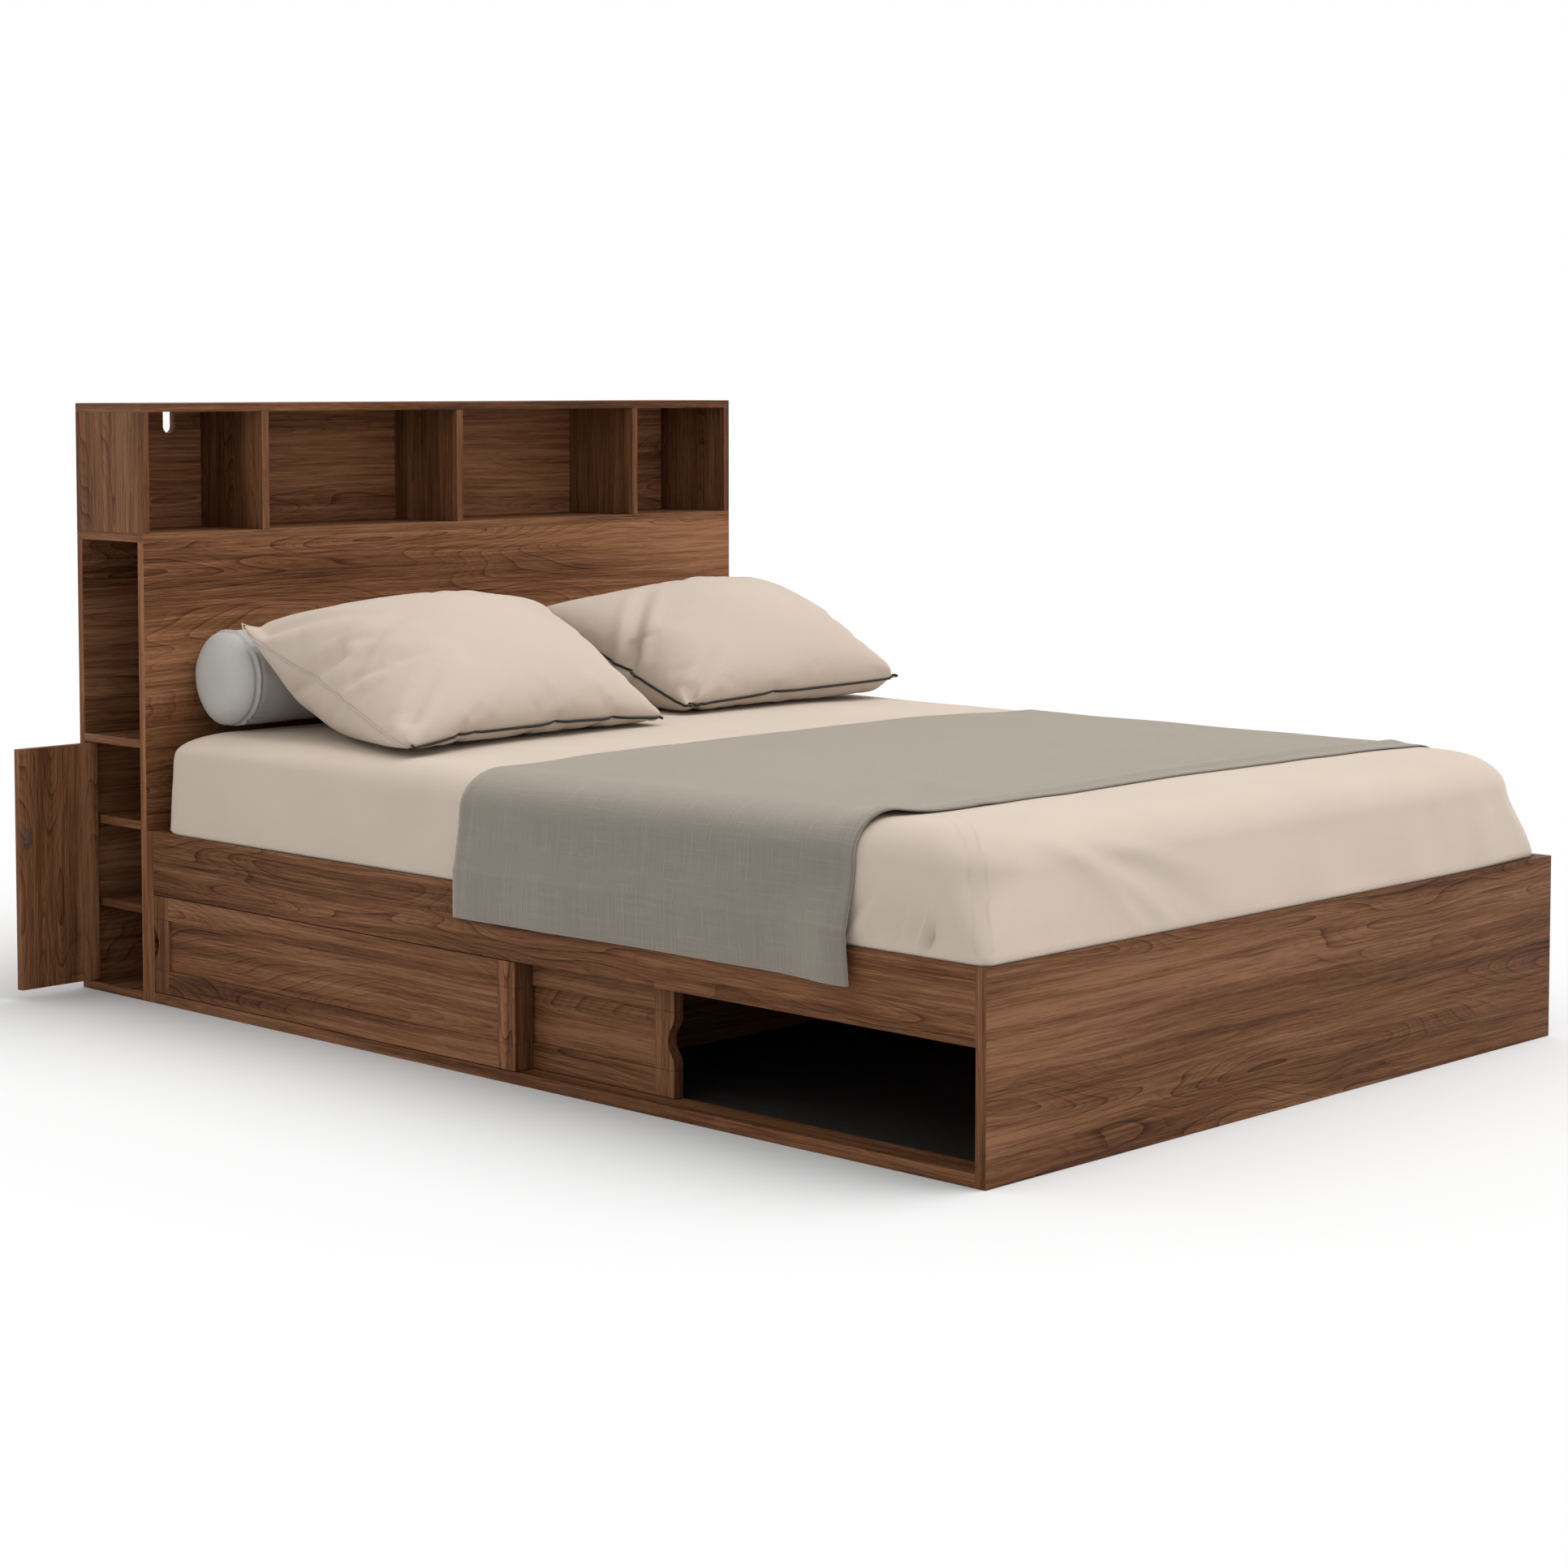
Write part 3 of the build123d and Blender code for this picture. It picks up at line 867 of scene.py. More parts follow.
@dataclass
class Mattress:
    """Mattress core and the fitted sheet pulled over it.

    Attributes:
        around: Cells round the sheet.
        rings: Cells from the hem to the middle of the top.
        side_rings: How many of those rings lie below the top.
        hem_corner: Radius of the upright corners at the rails.
        corner: Radius of the upright corners higher up.
        corner_rise: Height at which they have that radius.
        head_corner: Radius of the upright corners at the head.
        lean: How far the side leans in before the top's edge.
        lean_power: How late it leans in on its way up.
        roll: Width of the round edge between side and top.
        roll_height: Height of that edge.
        tuck: How far the hem turns in on the rails.
        crown: How far the middle stands above the edge.
        level_in: Share of the top over which its edge rises to the crown.
        crowding: How the top's rings crowd towards its middle.
        sheet_thick: Thickness of the sheet.
        flush: How far the sheet stands off the boards' outer faces.
        seat: Air between the hem and the rails' tops.
        core_gap: Air between the mattress and the sheet.
        core_side: Air between the mattress and the boards round it.
        core_head: Air between the mattress and the end of its space.
        core_round: Bevel of the mattress's edges.
        core_cell: Size of the mattress's cells.
        fine: How much finer the cells are near the left foot corner.
        fine_at: Where that is, as a share of the way round.
        drapes: Curved folds on the foot side: where each starts across the
            bed, how fast it falls, its width and its height.
        hollow: Where the left side is drawn in, how widely and how deep.
        tucks: Folds near the foot corner: where each starts along the bed,
            its slope, its width and its height.
        notch: A sharp fold inwards at the hem, given in the same way.
        notch_height: How far up the notch reaches.
        pulled: The foot corner that is drawn in.
        pull: How far it is drawn in, and how widely.
    """

    around: int = 740
    rings: int = 66
    side_rings: int = 30
    hem_corner: float = 0.016
    corner: float = 0.100
    corner_rise: float = 0.13
    head_corner: float = 0.075
    lean: float = 0.014
    lean_power: float = 1.4
    roll: float = 0.078
    roll_height: float = 0.066
    tuck: float = 0.020
    crown: float = 0.007
    level_in: float = 0.25
    crowding: float = 1.25
    sheet_thick: float = 0.0014
    flush: float = 0.0008
    seat: float = 0.0004
    core_gap: float = 0.012
    core_side: float = 0.004
    core_head: float = 0.006
    core_round: float = 0.04
    core_cell: float = 0.02
    fine: float = 0.5
    fine_at: float = 0.88
    drapes: tuple[tuple[float, float, float, float], ...] = (
        (-0.74, 0.30, 0.017, 0.0042),
        (-0.70, 0.55, 0.017, -0.0024),
        (-0.70, 0.85, 0.018, 0.0030),
        (-0.66, 1.60, 0.020, 0.0022),
    )
    tucks: tuple[tuple[float, float, float, float], ...] = (
        (-1.006, -0.060, 0.0085, 0.0110),
        (-0.970, -0.057, 0.0110, 0.0085),
        (-0.872, -0.130, 0.0150, 0.0100),
        (-1.088, -0.030, 0.0280, 0.0040),
    )
    hollow: tuple[float, float, float] = (-0.98, 0.095, 0.0110)
    notch: tuple[float, float, float, float] = (-1.024, -0.030, 0.0075, 0.020)
    notch_height: float = 0.042
    pulled: tuple[float, float] = (0.77, -1.15)
    pull: tuple[float, float] = (0.012, 0.16)

    def __post_init__(self) -> None:
        """Takes the sizes of the CAD mattress."""
        low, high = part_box("mattress")
        rail_low, rail_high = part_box("side_rail_left")
        side = -rail_low[0] - self.flush
        far = -rail_high[0] - self.flush
        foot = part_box("footboard")[0][1] + self.flush
        self.half = np.array([(side + far) / 2, (high[1] - foot) / 2])
        self.middle = np.array([(far - side) / 2, (high[1] + foot) / 2])
        self.bottom = low[2]
        self.top = high[2]
        self.ledge = rail_high[2] + self.seat

    def top_at(self, x: np.ndarray, y: np.ndarray) -> np.ndarray:
        """Height of the sheet's top.

        Args:
            x: Places across the bed.
            y: Places along the bed.

        Returns:
            Heights in metres, without the rolled edge.
        """
        across = (x - self.middle[0]) / self.half[0]
        along = (y - self.middle[1]) / self.half[1]
        dome = (1 - np.abs(across) ** 2.6) * (1 - np.abs(along) ** 4)
        return self.top - self.crown + self.crown * np.clip(dome, 0, 1)

    def lying_at(self, x: np.ndarray, y: np.ndarray) -> np.ndarray:
        """Height of the sheet as it lies on the mattress.

        Args:
            x: Places across the bed.
            y: Places along the bed.

        Returns:
            Heights in metres, with the swelling and the fall to the edge.
        """
        flat = self.half - self.lean - self.roll
        across = np.abs(x - self.middle[0]) / flat[0]
        along = np.abs(y - self.middle[1]) / flat[1]
        inner = 1 - np.clip(np.maximum(across, along), 0, 1) ** (1 / self.crowding)
        blend = ease(inner, 0.0, self.level_in)
        edge = self.top - self.crown
        swell = self.swell_at(np.column_stack([x, y, x * 0]))
        return edge * (1 - blend) + self.top_at(x, y) * blend + swell

    def footprint(
        self, turn: np.ndarray, inset: float, foot: float, head: float
    ) -> tuple[np.ndarray, np.ndarray]:
        """Walks round a rectangle with rounded corners.

        Args:
            turn: 0..1 round the outline, from the middle of the foot.
            inset: How far inside the mattress's outline it lies.
            foot: Radius of its corners at the foot.
            head: Radius of its corners at the head.

        Returns:
            The places and the outward directions, two numbers each.
        """
        hx, hy = self.half - inset
        quarter = QUARTER_TURN
        long = 2 * hy - foot - head
        # Straight runs have even numbers, and the corners between them odd ones.
        runs = [hx - foot, foot * quarter, long, head * quarter, 2 * (hx - head),
                head * quarter, long, foot * quarter, hx - foot]
        ends = np.cumsum([0.0, *runs])
        walked = turn * ends[-1]
        place, out = np.zeros((len(turn), 2)), np.zeros((len(turn), 2))
        outs = [(0, -1), None, (1, 0), None, (0, 1), None, (-1, 0), None, (0, -1)]
        starts = [(0, -hy), None, (hx, -hy + foot), None, (hx - head, hy), None,
                  (-hx, hy - head), None, (-hx + foot, -hy)]
        ways = [(1, 0), None, (0, 1), None, (-1, 0), None, (0, -1), None, (1, 0)]
        bends = {1: (hx - foot, foot - hy, foot), 3: (hx - head, hy - head, head),
                 5: (head - hx, hy - head, head), 7: (foot - hx, foot - hy, foot)}
        for k in range(len(runs)):
            here = (walked >= ends[k]) & (walked <= ends[k + 1] + 1e-9)
            step = (walked[here] - ends[k])[:, None]
            if k % 2 == 0:
                place[here] = np.array(starts[k]) + step * np.array(ways[k])
                out[here] = outs[k]
            else:
                *centre, radius = bends[k]
                angle = (k - 3) / 2 * quarter + step[:, 0] / radius
                ray = np.stack([np.cos(angle), np.sin(angle)], 1)
                place[here] = np.array(centre) + radius * ray
                out[here] = ray
        return place + self.middle, out

    def profile(self, ring: np.ndarray) -> tuple[np.ndarray, np.ndarray]:
        """The cut through the sheet's side, from the hem to the top's edge.

        Args:
            ring: 0..1 from the hem to where the top begins.

        Returns:
            Insets from the outline, and heights above the rails, in metres.
        """
        side = self.top - self.crown - self.roll_height - self.ledge
        roll = (self.roll + self.roll_height) * math.pi / 4
        turn_in = self.tuck
        walked = ring * (turn_in + side + roll)
        inset, rise = np.zeros_like(ring), np.zeros_like(ring)
        first = walked < turn_in
        inset[first] = turn_in - walked[first]
        second = (~first) & (walked < turn_in + side)
        rise[second] = walked[second] - turn_in
        inset[second] = self.lean * (rise[second] / side) ** self.lean_power
        third = walked >= turn_in + side
        angle = (walked[third] - turn_in - side) / roll * math.pi / 2
        inset[third] = self.lean + self.roll * (1 - np.cos(angle))
        rise[third] = side + self.roll_height * np.sin(angle)
        return inset, rise

    def sheet_folds(self, places: np.ndarray, outs: np.ndarray) -> np.ndarray:
        """Soft folds and swelling of the sheet.

        Args:
            places: Vertices of the smooth sheet.
            outs: The outward direction on plan of each.

        Returns:
            How far each vertex moves outwards.
        """
        x, y, z = places.T
        left = outs[:, 0] < -0.5
        foot = outs[:, 1] < -0.5
        rise = np.clip((z - self.ledge) / (self.top - self.ledge), 0, 1)
        move = 0.0028 * ripple(places, (5.0, 5.0, 3.0), 3.1)
        # The left side is drawn in near the foot, and its tucks stand out there.
        reach = 1 - ease(rise, 0.15, 0.62)
        start, width, depth = self.hollow
        move -= left * bell(y - start, width) * depth * reach
        for start, slope, width, depth in self.tucks:
            line = y - start - rise * slope
            move += left * bell(line, width) * depth * reach
        start, slope, width, depth = self.notch
        line = y - start - rise * slope
        cut = bell(line, width) * bell(z - self.ledge, self.notch_height)
        move -= left * cut * depth
        # The foot side hangs in curved folds below the top.
        low = self.top - z
        for start, fall, width, depth in self.drapes:
            along = np.clip(x - start, 0, None)
            crease = bell(low - 0.012 - fall * along**1.6, width) * depth
            shown = ease(along, 0.0, 0.08) * (1 - ease(along, 0.30, 0.62))
            move += foot * crease * shown
        # Towards the head the sides stand upright and swell a little.
        full = self.lean * np.clip(rise / 0.62, 0, 1) ** self.lean_power
        full = full + 0.016 * bell(rise - 0.86, 0.12)
        move += np.abs(outs[:, 0]) * ease(y, 0.1, 0.8) * full
        # The foot side has one hollow beside one swelling, and slow waves.
        swag = bell(x - 0.40, 0.045) - 0.8 * bell(x - 0.56, 0.040)
        move -= foot * swag * 0.0045 * bell(rise - 0.40, 0.28)
        move += foot * 0.003 * ripple(places, (7.0, 1.0, 2.5), 9.4)
        return move

    def build_sheet(self) -> bpy.types.Object:
        """Makes the fitted sheet.

        Returns:
            The sheet.
        """
        sheet = grid("fitted_sheet", self.around, self.rings)
        unit = places_of(sheet)
        low_rings = self.side_rings / self.rings
        ring = unit[:, 1]
        crowd = np.sin(2 * math.pi * (unit[:, 0] - self.fine_at))
        crowd = crowd + math.sin(2 * math.pi * self.fine_at)
        turn = np.clip(unit[:, 0] - self.fine / (2 * math.pi) * crowd, 0, 1)
        side = ring <= low_rings
        share = np.clip(ring / low_rings, 0, 1)
        inset, rise = self.profile(share)
        place, out = np.zeros((len(ring), 2)), np.zeros((len(ring), 2))
        for level in np.unique(np.round(ring, 6)):
            row = np.abs(ring - level) < 1e-5
            deep, high = float(inset[row][0]), rise[row][:1]
            round_up = float(ease(high, 0.0, self.corner_rise)[0])
            radius = self.hem_corner + (self.corner - self.hem_corner) * round_up
            place[row], out[row] = self.footprint(
                turn[row], deep, radius, self.head_corner
            )
        self.ease_corner(place)
        inner = np.clip((ring - low_rings) / (1 - low_rings), 0, 1)
        shrink = (1 - inner) ** self.crowding
        place = self.middle + (place - self.middle) * shrink[:, None]
        height = self.top_at(place[:, 0], place[:, 1])
        edge = self.top_at(
            np.full_like(height, self.middle[0] + self.half[0]), place[:, 1] * 0
        )
        z = np.where(side, self.ledge + rise, height)
        blend = ease(inner, 0.0, self.level_in)
        z = np.where(side, z, edge * (1 - blend) + height * blend)
        places = np.column_stack([place, z])
        move = self.sheet_folds(places, out)
        fading = np.where(side, 1.0, (1 - inner) ** 3)
        hem = ease(rise, 0.0, 0.03)
        places[:, :2] += out * (move * fading * hem)[:, None]
        flatness = np.where(side, ease(share, 0.75, 1.0), 1.0)
        places[:, 2] += self.swell_at(places) * flatness
        self.hold_in(places)
        move_to(sheet, places)
        self.lay_uv(sheet)
        weld(sheet, 2e-5)
        bake_in(sheet, "SOLIDIFY", thickness=self.sheet_thick, offset=-1.0)
        smooth(sheet)
        return sheet

    def ease_corner(self, place: np.ndarray) -> None:
        """Draws the right foot corner in a little.

        Args:
            place: Places on plan, changed as they stand.
        """
        away = np.hypot(place[:, 0] - self.pulled[0], place[:, 1] - self.pulled[1])
        depth, width = self.pull
        pull = depth * bell(away, width)
        place[:, 0] -= pull
        place[:, 1] += pull

    def stand_inside(self, places: np.ndarray) -> None:
        """Draws places that lie above the rails inside the sheet.

        Args:
            places: Places, changed as they stand.
        """
        gap = self.core_gap
        side = self.top - self.crown - self.roll_height - self.ledge
        rise = np.clip(places[:, 2] - self.ledge, 0, None)
        bent = np.clip((rise - side) / self.roll_height, 0, 0.97)
        inset = self.lean * np.clip(rise / side, 0, 1) ** self.lean_power
        inset = inset + self.roll * (1 - np.sqrt(1 - bent**2)) + gap
        reach = self.half - (inset + self.corner)[:, None]
        away = places[:, :2] - self.middle
        over = np.clip(np.abs(away) - reach, 0, None)
        far = np.maximum(np.hypot(over[:, 0], over[:, 1]), 1e-6)
        drawn = over * np.minimum(1, self.corner / far)[:, None]
        drawn = drawn + np.minimum(np.abs(away), reach)
        inside = self.middle + np.sign(away) * drawn
        above = rise > 0
        places[above, :2] = inside[above]
        # Behind the tucks the sheet turns in, so the mattress stands back there.
        left = above * (places[:, 0] < 0)
        places[:, 0] += left * 0.014 * bell(places[:, 1] + 1.04, 0.05)
        roof = self.top_at(places[:, 0], places[:, 1]) + self.swell_at(places)
        places[:, 2] = np.minimum(places[:, 2], roof - gap)

    @staticmethod
    def swell_at(places: np.ndarray) -> np.ndarray:
        """Slight rise and fall of the bed's top.

        Args:
            places: Where to read it.

        Returns:
            How far the sheet stands above its crown.
        """
        swell = 0.0024 * ripple(places, (3.2, 2.4, 0.0), 5.5)
        return swell + 0.0012 * ripple(places, (9.0, 6.0, 0.0), 7.7)

    def hold_in(self, places: np.ndarray) -> None:
        """Keeps the sheet over the rails and the footboard.

        Args:
            places: Places, changed as they stand.
        """
        x, y, z = places.T
        spare = 0.008 * ease(z, self.ledge, self.ledge + 0.12)
        reach_x = self.half[0] + spare
        reach_y = self.half[1] - self.middle[1] + spare
        places[:, 0] = np.clip(x, self.middle[0] - reach_x, self.middle[0] + reach_x)
        places[:, 1] = np.maximum(y, -reach_y)

    def lay_uv(self, sheet: bpy.types.Object) -> None:
        """Lays the weave over the sheet from above and from the sides.

        Args:
            sheet: The sheet, before it gets its thickness.
        """
        layer = sheet.data.uv_layers.active.data
        places = places_of(sheet)
        loops = np.empty(len(sheet.data.loops), dtype=np.int32)
        sheet.data.loops.foreach_get("vertex_index", loops)
        drop = self.top - places[:, 2]
        away = places[:, :2] - self.middle
        size = np.maximum(np.abs(away) / self.half, 1e-6)
        lead = size / size.max(1, keepdims=True)
        flat = away + np.sign(away) * drop[:, None] * (lead > 0.98)
        layer.foreach_set("uv", flat[loops].ravel())

    def build_core(self) -> bpy.types.Object:
        """Makes the mattress under the sheet.

        Returns:
            The mattress.
        """
        bpy.ops.object.select_all(action="DESELECT")
        bpy.ops.mesh.primitive_cube_add(size=1.0)
        core = bpy.context.active_object
        core.name = core.data.name = "mattress_core"
        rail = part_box("side_rail_left")[1][0] + self.core_side
        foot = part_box("footboard")[1][1] + self.core_side
        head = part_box("mattress")[1][1] - self.core_head
        floor, roof = self.bottom + 0.0005, self.top - self.core_gap
        corners = places_of(core)
        corners[:, 0] *= -2 * rail
        corners[:, 1] = np.where(corners[:, 1] < 0, foot, head)
        corners[:, 2] = np.where(corners[:, 2] < 0, floor, roof)
        move_to(core, corners)
        edit(
            core,
            lambda: bpy.ops.mesh.bevel(
                offset=self.core_round, segments=5, affect="EDGES"
            ),
            lambda: bpy.ops.mesh.normals_make_consistent(inside=False),
        )
        bake_in(core, "REMESH", mode="VOXEL", voxel_size=self.core_cell)
        places = places_of(core)
        z = places[:, 2]
        places[:, 2] += 0.0012 * ripple(places, (9, 9, 9), 1.0) * (z > self.ledge)
        # A shallow groove runs round the mattress above its lower edge.
        pinch = bell(z - (self.bottom + 0.02), 0.008)
        centre = np.array([*self.middle, 0.0])
        places[:, :2] -= (places - centre)[:, :2] * (0.003 * pinch)[:, None]
        self.stand_inside(places)
        move_to(core, places)
        smooth(core)
        return core

    def build(self, sheet_cloth: bpy.types.Material, tick: bpy.types.Material) -> None:
        """Args:
            sheet_cloth: Finish of the sheet.
            tick: Finish of the mattress cover.
        """
        core, sheet = self.build_core(), self.build_sheet()
        dress(core, tick)
        dress(sheet, sheet_cloth)
        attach(core, BED)
        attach(sheet, BED)
        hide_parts("mattress")
        LOG.info("made mattress_core and fitted_sheet")


@dataclass
class Pillow:
    """A stuffed pillow with a seam all round and piping on part of it.

    Attributes:
        name: Name of the piece, and start of its trim's name.
        node: The CAD node that it stands for.
        corners: Seam corners: front left, front right, back right, back left.
        flat: Width and depth of the flat case.
        piped: Sides with dark piping: front, right, back, left.
        bolster: Y, Z and radius of the bolster under it.
        floor: Height of the mattress under it.
        columns: Cells across.
        rows: Cells from front to back.
        plump: Thickness of the shape that the inflation starts from.
        frames: Steps of the inflation.
        pressure: Strength of the filling.
        weight: Share of gravity that acts.
        stiff: Resistance of the cloth to bending.
        slack: Extra length of the cloth in the case.
        quality: Steps of the solver in a frame.
        cloth_mass: Mass of one vertex of the cloth.
        tension: Resistance of the cloth to stretching and squeezing.
        shear: Resistance of the cloth to going askew.
        damping: Drag of the air.
        friction: Grip of the sheet and the bolster on the cloth.
        upward: The way its upper side faces.
        gap: Air between the case and what it lies on.
        pinned: How near a seam corner the cloth is held.
        cord_radius: Radius of the dark piping.
        welt_radius: Radius of the plain seam.
        creases: Pressed-in creases on the upper side: from and to, as shares
            of the width and depth, then width and depth in metres.
    """

    name: str
    node: str
    corners: tuple[Point, Point, Point, Point]
    flat: tuple[float, float]
    piped: tuple[str, ...]
    bolster: tuple[float, float, float]
    floor: float
    columns: int = 66
    rows: int = 54
    plump: float = 0.085
    frames: int = 36
    pressure: float = 7.0
    weight: float = 0.9
    stiff: float = 0.1
    slack: float = 0.052
    quality: int = 7
    cloth_mass: float = 0.05
    tension: float = 18.0
    shear: float = 6.0
    damping: float = 2.0
    friction: float = 12.0
    upward: Point = (0.0, -0.33, 0.94)
    gap: float = 0.002
    pinned: float = 0.006
    cord_radius: float = 0.0026
    welt_radius: float = 0.0013
    creases: tuple[tuple[float, float, float, float, float, float], ...] = ()

    def mid(self, a: np.ndarray, b: np.ndarray) -> np.ndarray:
        """Places on a flat patch stretched between the four seam corners.

        Args:
            a: 0..1 from left to right.
            b: 0..1 from front to back.

        Returns:
            Places in metres.
        """
        fl, fr, br, bl = (np.array(c) for c in self.corners)
        a, b = a[:, None], b[:, None]
        return (1 - b) * ((1 - a) * fl + a * fr) + b * ((1 - a) * bl + a * br)

    def shell(self) -> bpy.types.Object:
        """Makes the closed case, ready to inflate.

        Returns:
            The case.
        """
        halves = []
        for side in (1.0, -1.0):
            half = grid(f"{self.name}_half", self.columns, self.rows)
            unit = places_of(half)
            a, b = unit[:, 0], unit[:, 1]
            bulge = (np.clip(np.sin(np.pi * a) * np.sin(np.pi * b), 0, 1)) ** 0.5
            away = side * self.plump * bulge[:, None] * np.array(self.upward)
            places = self.mid(a, b) + away
            keep = np.column_stack([a, b, np.full(len(a), side)])
            for index, label in enumerate("abs"):
                layer = half.data.attributes.new(f"case_{label}", "FLOAT", "POINT")
                layer.data.foreach_set("value", np.ascontiguousarray(keep[:, index]))
            self.stand_clear(places)
            move_to(half, places)
            scale_uv(half, *self.flat)
            if side < 0:
                edit(half, lambda: bpy.ops.mesh.flip_normals())
            halves.append(half)
        alone(halves[0])
        halves[1].select_set(True)
        bpy.ops.object.join()
        case = halves[0]
        case.name = case.data.name = self.name
        edit(case, lambda: bpy.ops.mesh.remove_doubles(threshold=1e-5))
        return case

    @staticmethod
    def read(case: bpy.types.Object, label: str) -> np.ndarray:
        """Reads one of the case's own coordinates.

        Args:
            case: The case.
            label: a across, b from front to back, or s, the side.

        Returns:
            One number for each vertex.
        """
        layer = case.data.attributes[f"case_{label}"].data
        out = np.empty(len(layer))
        layer.foreach_get("value", out)
        return out

    def stand_clear(self, places: np.ndarray) -> None:
        """Pushes places off the mattress and the bolster.

        Args:
            places: Places, changed as they stand.
        """
        y0, z0, radius = self.bolster
        dy, dz = places[:, 1] - y0, places[:, 2] - z0
        away = np.hypot(dy, dz)
        inside = away < radius + self.gap
        push = (radius + self.gap) / np.maximum(away, 1e-4)
        places[inside, 1] = y0 + dy[inside] * push[inside]
        places[inside, 2] = z0 + dz[inside] * push[inside]
        places[:, 2] = np.maximum(places[:, 2], self.floor + self.gap)

    def proxies(self) -> list[bpy.types.Object]:
        """Adds the mattress top and the bolster for the cloth to meet.

        Returns:
            Both helpers.
        """
        y0, z0, radius = self.bolster
        bpy.ops.object.select_all(action="DESELECT")
        bpy.ops.mesh.primitive_plane_add(size=3.0, location=(0, 0, self.floor))
        bed = bpy.context.active_object
        bpy.ops.mesh.primitive_cylinder_add(
            vertices=64, radius=radius, depth=2.0, location=(0, y0, z0),
            rotation=(0, math.pi / 2, 0),
        )
        roll = bpy.context.active_object
        for helper in (bed, roll):
            helper.modifiers.new("Collision", "COLLISION")
            helper.collision.thickness_outer = self.gap
            helper.collision.cloth_friction = self.friction
        return [bed, roll]

    def inflate(self, case: bpy.types.Object) -> None:
        """Blows the case up between pinned corners, and presses its creases in.

        Args:
            case: The closed case.
        """
        a, b = self.read(case, "a"), self.read(case, "b")
        alone(case)
        pins = case.vertex_groups.new(name="corners")
        away = np.hypot(np.minimum(a, 1 - a) * self.flat[0],
                        np.minimum(b, 1 - b) * self.flat[1])
        for index in np.nonzero(away < self.pinned)[0]:
            pins.add([int(index)], 1.0, "REPLACE")
        helpers = self.proxies()
        cloth = case.modifiers.new("Cloth", "CLOTH")
        rules = cloth.settings
        rules.quality = self.quality
        rules.mass = self.cloth_mass
        rules.tension_stiffness = rules.compression_stiffness = self.tension
        rules.shear_stiffness = self.shear
        rules.bending_stiffness = self.stiff
        rules.air_damping = self.damping
        rules.vertex_group_mass = "corners"
        rules.shrink_min = -self.slack
        rules.use_pressure = True
        rules.uniform_pressure_force = self.pressure
        rules.effector_weights.gravity = self.weight
        cloth.collision_settings.use_collision = True
        cloth.collision_settings.distance_min = self.gap
        cloth.point_cache.frame_start = 1
        cloth.point_cache.frame_end = self.frames
        scene = bpy.context.scene
        for frame in range(1, self.frames + 1):
            scene.frame_set(frame)
        shown = case.evaluated_get(bpy.context.evaluated_depsgraph_get())
        settled = places_of(shown)
        case.modifiers.remove(cloth)
        for helper in helpers:
            bpy.data.objects.remove(helper, do_unlink=True)
        scene.frame_set(1)
        move_to(case, settled)
        settled += self.pressed_in(case)
        self.stand_clear(settled)
        move_to(case, settled)

    def pressed_in(self, case: bpy.types.Object) -> np.ndarray:
        """Works out the creases of the upper side.

        Args:
            case: The inflated case.

        Returns:
            The move of each vertex.
        """
        upper = self.read(case, "s") > 0
        flat = np.column_stack(
            [self.read(case, "a") * self.flat[0], self.read(case, "b") * self.flat[1]]
        )
        normals = np.empty(len(flat) * 3)
        case.data.vertices.foreach_get("normal", normals)
        deep = np.zeros(len(flat))
        for a0, b0, a1, b1, width, depth in self.creases:
            start = np.array([a0 * self.flat[0], b0 * self.flat[1]])
            way = np.array([a1 * self.flat[0], b1 * self.flat[1]]) - start
            share = np.clip((flat - start) @ way / (way @ way), 0, 1)
            away = np.linalg.norm(flat - start - share[:, None] * way, axis=1)
            # The cloth stands up in a low lip on both sides of a crease.
            lips = 0.4 * bell(away - 1.9 * width, width)
            deep += depth * (1 - share) ** 0.8 * (bell(away, width) - lips)
        return -normals.reshape(-1, 3) * (deep * upper)[:, None]

    def seam(self, case: bpy.types.Object, sides: tuple[str, ...]) -> list[np.ndarray]:
        """Reads the seam's places, one run for each side.

        Args:
            case: The inflated case.
            sides: Which sides to read.

        Returns:
            Rows of places, in order along each side.
        """
        a, b = self.read(case, "a"), self.read(case, "b")
        places = places_of(case)
        picks = {
            "front": (b < SAME_PLACE, a),
            "right": (a > 1 - SAME_PLACE, b),
            "back": (b > 1 - SAME_PLACE, a),
            "left": (a < SAME_PLACE, b),
        }
        runs = []
        for side in sides:
            on, order = picks[side]
            index = np.nonzero(on)[0]
            runs.append(places[index[np.argsort(order[index])]])
        return runs

    def piping(
        self, runs: list[np.ndarray], radius: float, label: str
    ) -> bpy.types.Object:
        """Makes a cord of cloth along runs of the seam.

        Args:
            runs: Places along the seam.
            radius: Its radius.
            label: End of its name.

        Returns:
            The piping, as a mesh.
        """
        curve = bpy.data.curves.new(f"{self.name}_{label}", "CURVE")
        curve.dimensions = "3D"
        curve.bevel_depth = radius
        curve.bevel_resolution = 3
        curve.use_fill_caps = True
        for run in runs:
            line = curve.splines.new("NURBS")
            line.points.add(len(run) - 1)
            line.points.foreach_set(
                "co", np.column_stack([run, np.ones(len(run))]).ravel()
            )
            line.order_u = 3
            line.use_endpoint_u = True
        made = bpy.data.objects.new(curve.name, curve)
        bpy.context.collection.objects.link(made)
        alone(made)
        bpy.ops.object.convert(target="MESH")
        made = bpy.context.active_object
        smooth(made)
        return made

